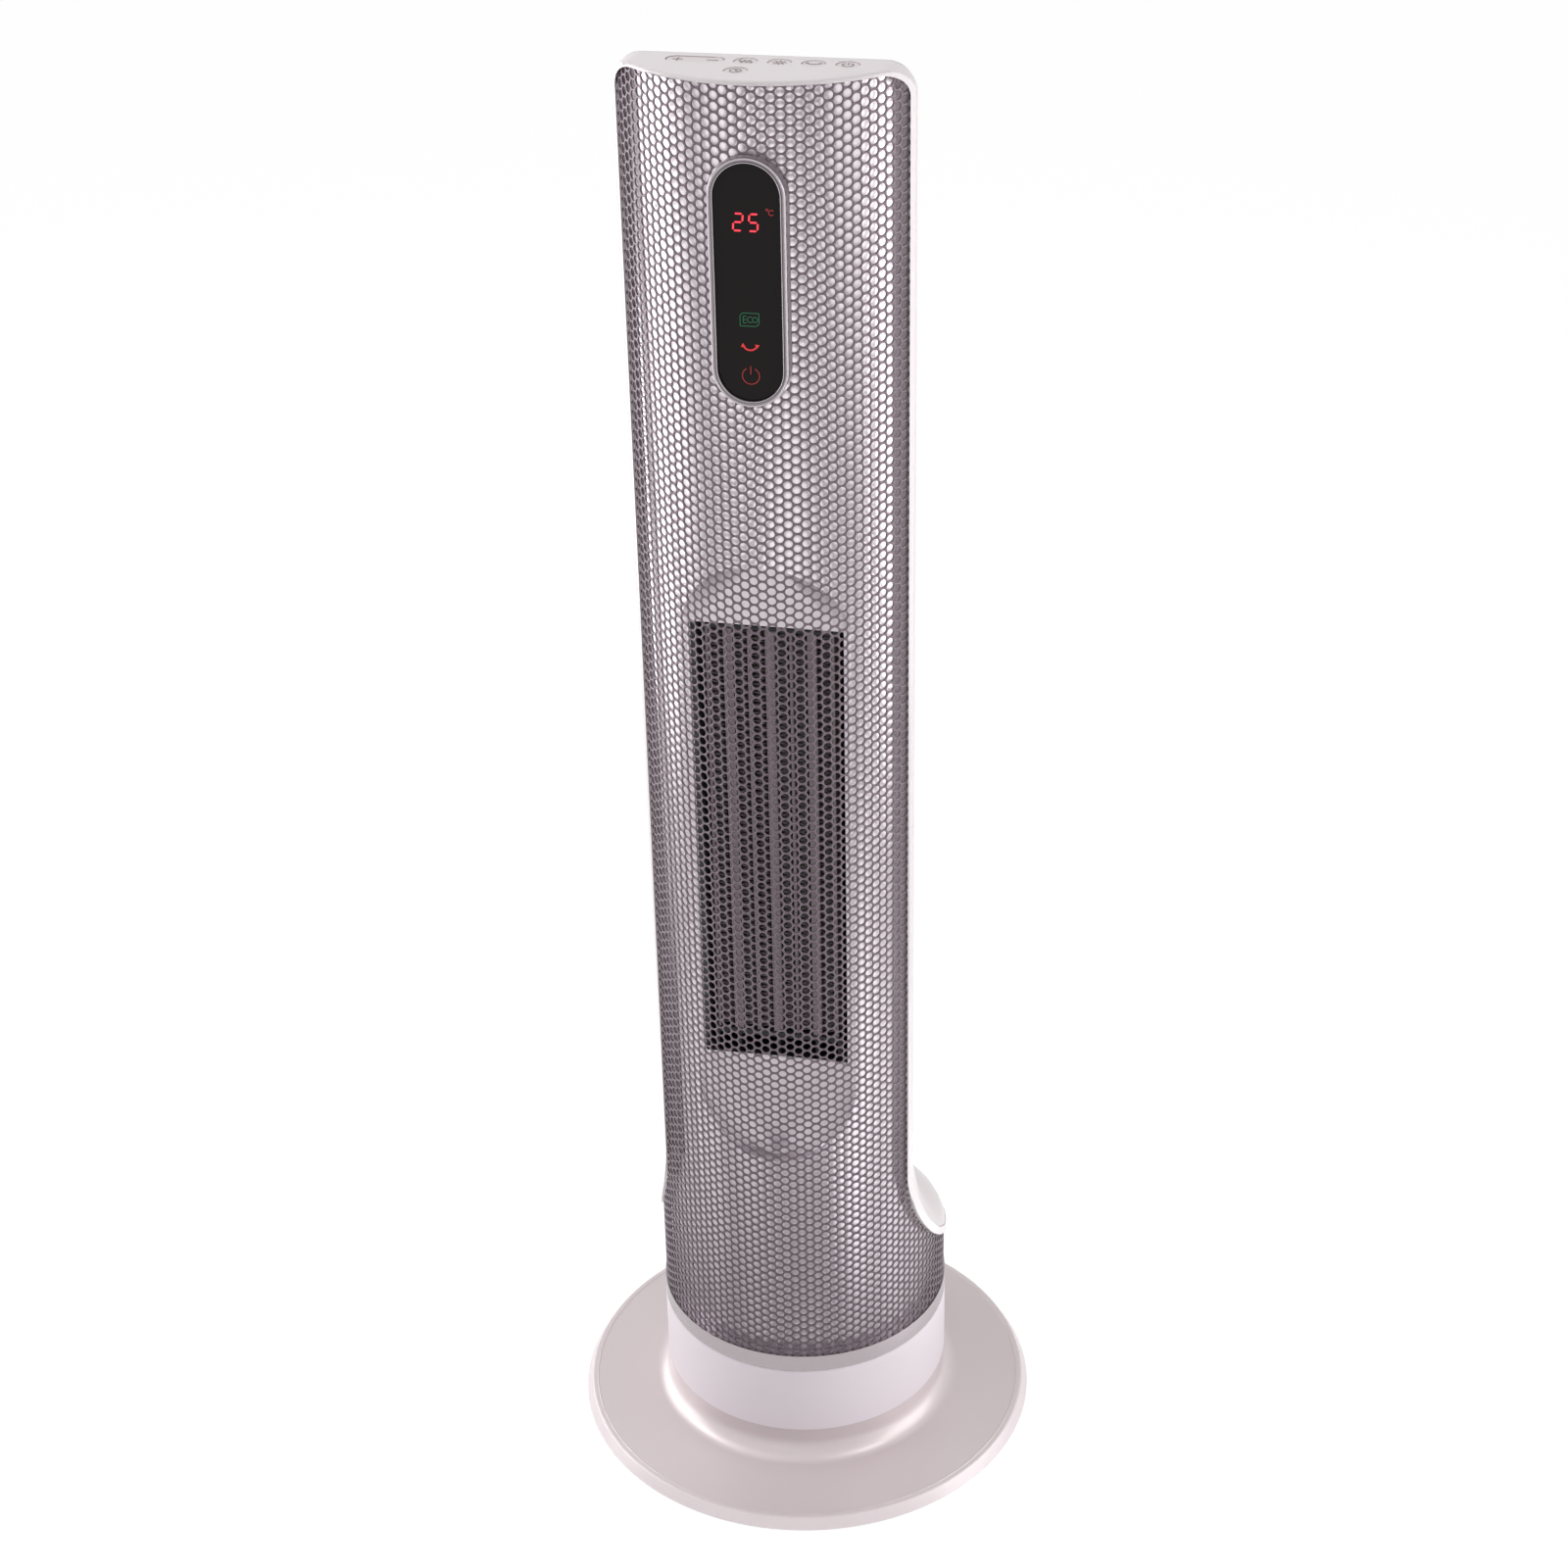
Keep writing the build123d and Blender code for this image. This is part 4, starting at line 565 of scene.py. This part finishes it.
def bentPart(flat, name, low, high):
    bm = bmesh.new()
    bm.from_mesh(flat)
    gone = [f for f in bm.faces if not low <= f.calc_center_median().z < high]
    bmesh.ops.delete(bm, geom=gone, context="FACES")
    for v in bm.verts:
        angle = v.co.x / sheet["radius"]
        v.co = (sheet["radius"] * math.sin(angle), -sheet["radius"] * math.cos(angle), v.co.z)
    bm.normal_update()
    turned = [f for f in bm.faces if f.normal.xy.dot(f.calc_center_median().xy) < 0]
    bmesh.ops.reverse_faces(bm, faces=turned)
    obj = newPiece(bm, name, "tower", "mesh_silver", smoothAngle=180)
    wall = obj.modifiers.new("sheet thickness", "SOLIDIFY")
    wall.thickness = sheet["thickness"]
    wall.offset = -1
    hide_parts("mesh_front")


flat = flatSheet()
levels = (0, *sheet["cuts"], 1)  # the sheet lies well between 0 and 1 m
for k, name in enumerate(("meshLow", "meshMiddle", "meshHigh")):
    bentPart(flat, name, levels[k], levels[k + 1])
print("perforated front made")


# Folded fins between the bars of the heating element

fins = {
    "front": -0.0545,
    "back": -0.0395,
    "low": 0.2865,
    "high": 0.5205,
    "step": 0.00115,
    "thickness": 0.00018,
}
bars = {"pitch": 0.0106, "wide": 0.0046, "narrow": 0.0014, "count": 6}


def makeFins():
    bm = bmesh.new()
    folds = int((fins["high"] - fins["low"]) / fins["step"])
    gap = 2 * fins["thickness"]  # the folds stop just short of the bars
    for column in range(-bars["count"] // 2, bars["count"] // 2):
        leftBar, rightBar = ("wide", "narrow") if column % 2 == 0 else ("narrow", "wide")
        left = column * bars["pitch"] + bars[leftBar] / 2 + gap
        right = (column + 1) * bars["pitch"] - bars[rightBar] / 2 - gap
        strip = bmesh.ops.create_grid(bm, x_segments=1, y_segments=folds, size=0.5)["verts"]
        for v in strip:
            row = round((v.co.y + 0.5) * folds)
            deep = fins["front"] if v.co.x < 0 else fins["back"]
            v.co = (right if row % 2 else left, deep, fins["low"] + row * fins["step"])
    bmesh.ops.recalc_face_normals(bm, faces=bm.faces)
    obj = newPiece(bm, "heaterFolds", "tower", "fin_metal", smoothAngle=20)
    wall = obj.modifiers.new("strip thickness", "SOLIDIFY")
    wall.thickness = fins["thickness"]
    wall.offset = 0
    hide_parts("heater_fins")


makeFins()
print("heater fins made")


# Signs: bars, arcs and arrow tips, drawn in millimetres on a flat plane and then put in place in metres

signs = {
    "front": -0.08111,  # the plane of the display, in metres
    "keyTop": 0.79971,  # the plane of the keys, in metres
    "depth": 0.12,
    "arcStep": 12,  # in degrees
    "merge": 1e-4,
    "digitHeight": 7.8,
    "digitWidth": 4.1,
    "digitStroke": 0.80,
    "digitGap": 0.42,
    "digitPoint": 0.45,  # how far the ends are cut to a point, as a share of the stroke
    "slant": 0.08,
}


def addBar(bm, x0, y0, x1, y1, width, point=0):
    # a straight stroke with square ends, or with ends cut to a blunt point
    length = math.hypot(x1 - x0, y1 - y0)
    new = bmesh.ops.create_cube(bm, size=1)["verts"]
    bmesh.ops.scale(bm, verts=new, vec=(length, width, signs["depth"]))
    if point:
        edges = {e for v in new for e in v.link_edges}
        upright = [e for e in edges if abs(e.verts[0].co.z - e.verts[1].co.z) > signs["depth"] / 2]
        done = bmesh.ops.bevel(
            bm, geom=upright, offset=point * width, affect="EDGES", segments=1, profile=0.5, material=-1
        )
        new = list(set(done["verts"]) | {v for v in new if v.is_valid})
    turn = Matrix.Rotation(math.atan2(y1 - y0, x1 - x0), 3, "Z")
    bmesh.ops.rotate(bm, verts=new, matrix=turn)
    bmesh.ops.translate(bm, verts=new, vec=((x0 + x1) / 2, (y0 + y1) / 2, signs["depth"] / 2))


def addArc(bm, x, y, radius, start, end, width):
    # a stroke along part of a circle, angles in degrees from the right
    cube = bmesh.ops.create_cube(bm, size=1)["verts"]
    bmesh.ops.delete(bm, geom=[v for v in cube if v.co.y > 0], context="VERTS")
    new = [v for v in cube if v.is_valid]
    bmesh.ops.scale(bm, verts=new, vec=(width, 0, signs["depth"]))
    bmesh.ops.translate(bm, verts=new, vec=(radius, 0, signs["depth"] / 2))
    bmesh.ops.rotate(bm, verts=new, matrix=Matrix.Rotation(math.radians(start), 3, "Z"))
    bmesh.ops.translate(bm, verts=new, vec=(x, y, 0))
    face = new[0].link_faces[0]
    bmesh.ops.spin(
        bm,
        geom=[face, *face.edges, *face.verts],
        cent=(x, y, 0),
        axis=(0, 0, 1),
        angle=math.radians(end - start),
        steps=int((end - start) / signs["arcStep"]),
        use_merge=end - start == 360,
    )


def addTip(bm, x, y, angle, size):
    # an arrow tip that points along the angle
    made = bmesh.ops.create_cone(
        bm, cap_ends=True, segments=3, radius1=size, radius2=size, depth=signs["depth"]
    )
    bmesh.ops.rotate(bm, verts=made["verts"], matrix=Matrix.Rotation(math.radians(angle), 3, "Z"))
    bmesh.ops.translate(bm, verts=made["verts"], vec=(x, y, signs["depth"] / 2))


strokeKinds = {"bar": addBar, "arc": addArc, "tip": addTip}


def drawSign(name, strokes, place, body, finish, slant=0):
    bm = bmesh.new()
    for kind, *values in strokes:
        strokeKinds[kind](bm, *values)
    for v in bm.verts:
        v.co.x += slant * v.co.y
    bmesh.ops.remove_doubles(bm, verts=bm.verts, dist=signs["merge"])
    bmesh.ops.recalc_face_normals(bm, faces=bm.faces)
    bmesh.ops.transform(bm, matrix=place @ Matrix.Scale(0.001, 4), verts=bm.verts)
    newPiece(bm, name, body, finish)


def onDisplay(x, z):
    # display plane: right is +X, up is +Z, the sign stands out towards -Y
    return Matrix.Translation((x, signs["front"], z)) @ Matrix.Rotation(math.radians(90), 4, "X")


def onKey(x, y):
    return Matrix.Translation((x, y, signs["keyTop"]))


# which of the seven strokes are lit: top, upper left, upper right, middle, lower left, lower right, bottom
litStrokes = {"2": (0, 2, 3, 4, 6), "5": (0, 1, 3, 5, 6)}


def digitStrokes(digit):
    w, h, gap = signs["digitWidth"] / 2, signs["digitHeight"] / 2, signs["digitGap"]
    ends = [
        (-w + gap, h, w - gap, h),
        (-w, gap, -w, h - gap),
        (w, gap, w, h - gap),
        (-w + gap, 0, w - gap, 0),
        (-w, -h + gap, -w, -gap),
        (w, -h + gap, w, -gap),
        (-w + gap, -h, w - gap, -h),
    ]
    return [("bar", *ends[i], signs["digitStroke"], signs["digitPoint"]) for i in litStrokes[digit]]


# widths of the other strokes
thinLine = 0.3
fineLine = 0.36
keyLine = 0.52
boldLine = 0.6
swingLine = 0.75
# a bar goes from x, y to x, y; an arc has its centre, radius and two angles; a tip its centre, angle and size
displaySigns = {
    "signDigitTens": {"strokes": digitStrokes("2"), "at": (-0.0042, 0.7366), "finish": "digit_red"},
    "signDigitOnes": {"strokes": digitStrokes("5"), "at": (0.0029, 0.7366), "finish": "digit_red"},
    "signDegree": {
        "strokes": [("arc", 0.35, 0, 1.2, 40, 320, fineLine), ("arc", -1.6, 1.3, 0.45, 0, 360, thinLine)],
        "at": (0.0108, 0.7415),
        "finish": "icon_dim_red",
    },
    "signEco": {
        "strokes": [
            ("bar", -2.9, -1.6, -2.9, 1.6, thinLine), ("bar", -2.9, 1.6, -1.4, 1.6, thinLine),
            ("bar", -2.9, 0, -1.5, 0, thinLine), ("bar", -2.9, -1.6, -1.4, -1.6, thinLine),
            ("arc", 0.35, 0, 1.35, 48, 312, thinLine), ("arc", 2.6, 0, 1.2, 0, 360, thinLine),
            ("bar", -4.4, -3.1, 2.6, -3.1, thinLine), ("bar", -2.4, 3.1, 4.4, 3.1, thinLine),
            ("arc", -2.4, 1.1, 2.0, 90, 180, thinLine), ("arc", 2.4, -1.1, 2.0, 270, 360, thinLine),
            ("bar", -4.4, 1.1, -4.4, -3.1, thinLine), ("bar", 4.4, -1.1, 4.4, 3.1, thinLine),
        ],
        "at": (0.0, 0.6912),
        "finish": "icon_green",
    },
    "signSwing": {
        "strokes": [
            ("arc", 0, 2.6, 3.6, 215, 325, swingLine),
            ("tip", -3.3, 1.1, 125, 1.25),
            ("tip", 3.3, 1.1, 55, 1.25),
        ],
        "at": (0.0, 0.6776),
        "finish": "icon_red",
    },
    "signPower": {
        "strokes": [("arc", 0, 0, 4.0, 120, 420, fineLine), ("bar", 0, 0.8, 0, 4.8, fineLine)],
        "at": (0.0, 0.6642),
        "finish": "icon_dim_red",
    },
}
for name, sign in displaySigns.items():
    slant = signs["slant"] if "Digit" in name else 0
    drawSign(name, sign["strokes"], onDisplay(*sign["at"]), "tower", sign["finish"], slant)

keySigns = {
    "signPlus": {
        "strokes": [("bar", -2.4, 0, 2.4, 0, boldLine), ("bar", 0, -2.4, 0, 2.4, boldLine)],
        "at": (-0.0372, -0.049),
        "key": "plus_minus_key",
    },
    "signMinus": {
        "strokes": [("bar", -2.6, 0, 2.6, 0, boldLine)],
        "at": (-0.0212, -0.049),
        "key": "plus_minus_key",
    },
    "signHeat": {
        "strokes": [
            wave
            for x in (-2.1, 0, 2.1)
            for wave in (("arc", x, 1.05, 1.05, 90, 270, keyLine), ("arc", x, -1.05, 1.05, -90, 90, keyLine))
        ],
        "at": (-0.0061, -0.049),
        "key": "key_heat",
    },
    "signMode": {
        "strokes": [("arc", 0, 0, 1.5, 0, 360, keyLine)]
        + [
            ("bar", 2.3 * math.cos(a), 2.3 * math.sin(a), 3.2 * math.cos(a), 3.2 * math.sin(a), keyLine)
            for a in [math.radians(45 * i) for i in range(8)]
        ],
        "at": (0.0093, -0.049),
        "key": "key_mode",
    },
    "signSwingKey": {
        "strokes": [
            ("arc", 0, 2.6, 3.4, 218, 322, boldLine),
            ("tip", -3.0, 0.9, 125, 1.05),
            ("tip", 3.0, 0.9, 55, 1.05),
        ],
        "at": (0.0247, -0.049),
        "key": "key_swing",
    },
    "signPowerKey": {
        "strokes": [("arc", 0, 0, 2.5, 120, 420, boldLine), ("bar", 0, 0.5, 0, 3.2, boldLine)],
        "at": (0.0401, -0.049),
        "key": "key_power",
    },
    "signTimer": {
        "strokes": [
            ("arc", 0, 0, 2.6, 0, 360, keyLine),
            ("bar", 0, 0, 0, 1.7, keyLine),
            ("bar", 0, 0, 1.4, 0, keyLine),
        ],
        "at": (-0.0072, -0.0648),
        "key": "key_timer",
    },
}
for name, sign in keySigns.items():
    drawSign(name, sign["strokes"], onKey(*sign["at"]), sign["key"], "icon_grey")
print("signs made,", len(displaySigns) + len(keySigns))


# Light, floor and camera

camera = {
    "place": (0.2704, -1.2583, 1.1291),
    "azimuth": 12.41,
    "elevation": 29.36,
    "roll": -1.23,
    "lens": 64.26,
    "sensor": 36,
}
# the soft lamps light the surfaces and aren't seen in gloss
softLamps = {
    "leftLamp": {"place": (-0.86, -0.09, 0.50), "aim": (0, 0, 0.45), "size": (0.76, 1.00), "power": 3.8},
    "rightLamp": {"place": (0.85, -0.15, 0.50), "aim": (0, 0, 0.45), "size": (0.54, 1.00), "power": 4.6},
    "topLamp": {"place": (-0.8, -0.45, 2.3), "aim": (0, 0, 0), "size": (1.3, 1.3), "power": 14},
}
# the glows are seen only in gloss, so that metal shines and white plastic keeps its tone
glossLamps = {
    "leftGlow": {"place": (-0.84, 0.10, 0.45), "aim": (0, 0, 0.42), "size": (0.85, 0.80), "power": 6.0},
    "rightGlow": {"place": (0.85, 0.03, 0.45), "aim": (0, 0, 0.42), "size": (0.62, 0.80), "power": 3.6},
    "leftHighGlow": {
        "place": (-0.62, -0.10, 0.72),
        "aim": (0, 0, 0.02),
        "size": (0.22, 0.30),
        "power": 1.0,
    },
    "rightHighGlow": {
        "place": (0.50, -0.14, 0.84),
        "aim": (0, 0, 0.02),
        "size": (0.20, 0.26),
        "power": 0.9,
    },
    "rightFloorGlow": {
        "place": (0.34, -0.05, 0.003),
        "aim": (0.34, -0.05, 1),
        "size": (0.34, 0.50),
        "power": 0.62,
    },
    "leftFloorGlow": {
        "place": (-0.36, 0.03, 0.003),
        "aim": (-0.36, 0.03, 1),
        "size": (0.34, 0.50),
        "power": 0.25,
    },
    "frontGlow": {"place": (-0.21, -0.95, 0.30), "aim": (0, 0, 0.35), "size": (1.10, 0.60), "power": 0.45},
}
world = {"light": 0.39, "colour": (1.0, 0.985, 0.99)}
floorLook = {"colour": (0.93, 0.93, 0.93), "roughness": 0.9, "size": 20, "lift": 0.9, "shade": 0.22}


def makeCamera():
    data = bpy.data.cameras.new("photoCamera")
    data.lens = camera["lens"]
    data.sensor_width = camera["sensor"]
    obj = bpy.data.objects.new("photoCamera", data)
    bpy.context.scene.collection.objects.link(obj)
    turn = Matrix.Rotation(math.radians(camera["azimuth"]), 4, "Z")
    turn = turn @ Matrix.Rotation(math.radians(90 - camera["elevation"]), 4, "X")
    turn = turn @ Matrix.Rotation(math.radians(camera["roll"]), 4, "Z")
    obj.matrix_world = Matrix.Translation(camera["place"]) @ turn
    bpy.context.scene.camera = obj


def makeLamp(name, values, onlyGloss):
    data = bpy.data.lights.new(name, "AREA")
    data.shape = "RECTANGLE"
    data.size, data.size_y = values["size"]
    data.energy = values["power"]
    obj = bpy.data.objects.new(name, data)
    bpy.context.scene.collection.objects.link(obj)
    place = Vector(values["place"])
    aim = (Vector(values["aim"]) - place).to_track_quat("-Z", "Y")
    obj.matrix_world = Matrix.Translation(place) @ aim.to_matrix().to_4x4()
    obj.visible_camera = False
    obj.visible_diffuse = not onlyGloss
    obj.visible_glossy = onlyGloss


def seenDirectly(tree):
    # one for camera, mirror and see-through rays, which find a white background
    rays = tree.nodes.new("ShaderNodeLightPath")
    last = rays.outputs["Is Camera Ray"]
    for name in ("Is Glossy Ray", "Is Transmission Ray"):
        either = tree.nodes.new("ShaderNodeMath")
        either.operation = "MAXIMUM"
        tree.links.new(last, either.inputs[0])
        tree.links.new(rays.outputs[name], either.inputs[1])
        last = either.outputs[0]
    return last


def makeWorld():
    bpy.context.scene.world = bpy.data.worlds.new("studio")
    bpy.context.scene.world.use_nodes = True
    tree = bpy.context.scene.world.node_tree
    back = tree.nodes["Background"]
    back.inputs["Color"].default_value = (*world["colour"], 1)
    back.inputs["Strength"].default_value = world["light"]
    white = tree.nodes.new("ShaderNodeBackground")
    white.inputs["Color"].default_value = (1, 1, 1, 1)
    mix = tree.nodes.new("ShaderNodeMixShader")
    tree.links.new(seenDirectly(tree), mix.inputs["Fac"])
    tree.links.new(back.outputs["Background"], mix.inputs[1])
    tree.links.new(white.outputs["Background"], mix.inputs[2])
    tree.links.new(mix.outputs["Shader"], tree.nodes["World Output"].inputs["Surface"])


def makeFloor():
    bm = bmesh.new()
    bmesh.ops.create_grid(bm, x_segments=1, y_segments=1, size=floorLook["size"])
    mesh = bpy.data.meshes.new("floor")
    bm.to_mesh(mesh)
    bm.free()
    floor = bpy.data.objects.new("floor", mesh)
    bpy.context.scene.collection.objects.link(floor)
    mat = newMaterial("floorWhite", {"colour": floorLook["colour"], "roughness": floorLook["roughness"]})
    tree = mat.node_tree
    shader = tree.nodes["Principled BSDF"]
    # seen directly, the floor is nearly white by itself and a share of its light shows the shadow
    shaded = tree.nodes.new("ShaderNodeMixShader")
    shaded.inputs["Fac"].default_value = 1 - floorLook["shade"]
    nothing = tree.nodes.new("ShaderNodeEmission")
    nothing.inputs["Strength"].default_value = 0
    white = tree.nodes.new("ShaderNodeEmission")
    white.inputs["Strength"].default_value = floorLook["lift"]
    both = tree.nodes.new("ShaderNodeAddShader")
    mix = tree.nodes.new("ShaderNodeMixShader")
    tree.links.new(shader.outputs["BSDF"], shaded.inputs[1])
    tree.links.new(nothing.outputs["Emission"], shaded.inputs[2])
    tree.links.new(shaded.outputs["Shader"], both.inputs[0])
    tree.links.new(white.outputs["Emission"], both.inputs[1])
    tree.links.new(seenDirectly(tree), mix.inputs["Fac"])
    tree.links.new(shader.outputs["BSDF"], mix.inputs[1])
    tree.links.new(both.outputs["Shader"], mix.inputs[2])
    tree.links.new(mix.outputs["Shader"], tree.nodes["Material Output"].inputs["Surface"])
    mesh.materials.append(mat)


bpy.context.scene.view_settings.view_transform = "Standard"
makeWorld()
makeFloor()
makeCamera()
for name, values in softLamps.items():
    makeLamp(name, values, onlyGloss=False)
for name, values in glossLamps.items():
    makeLamp(name, values, onlyGloss=True)
print("stage made")
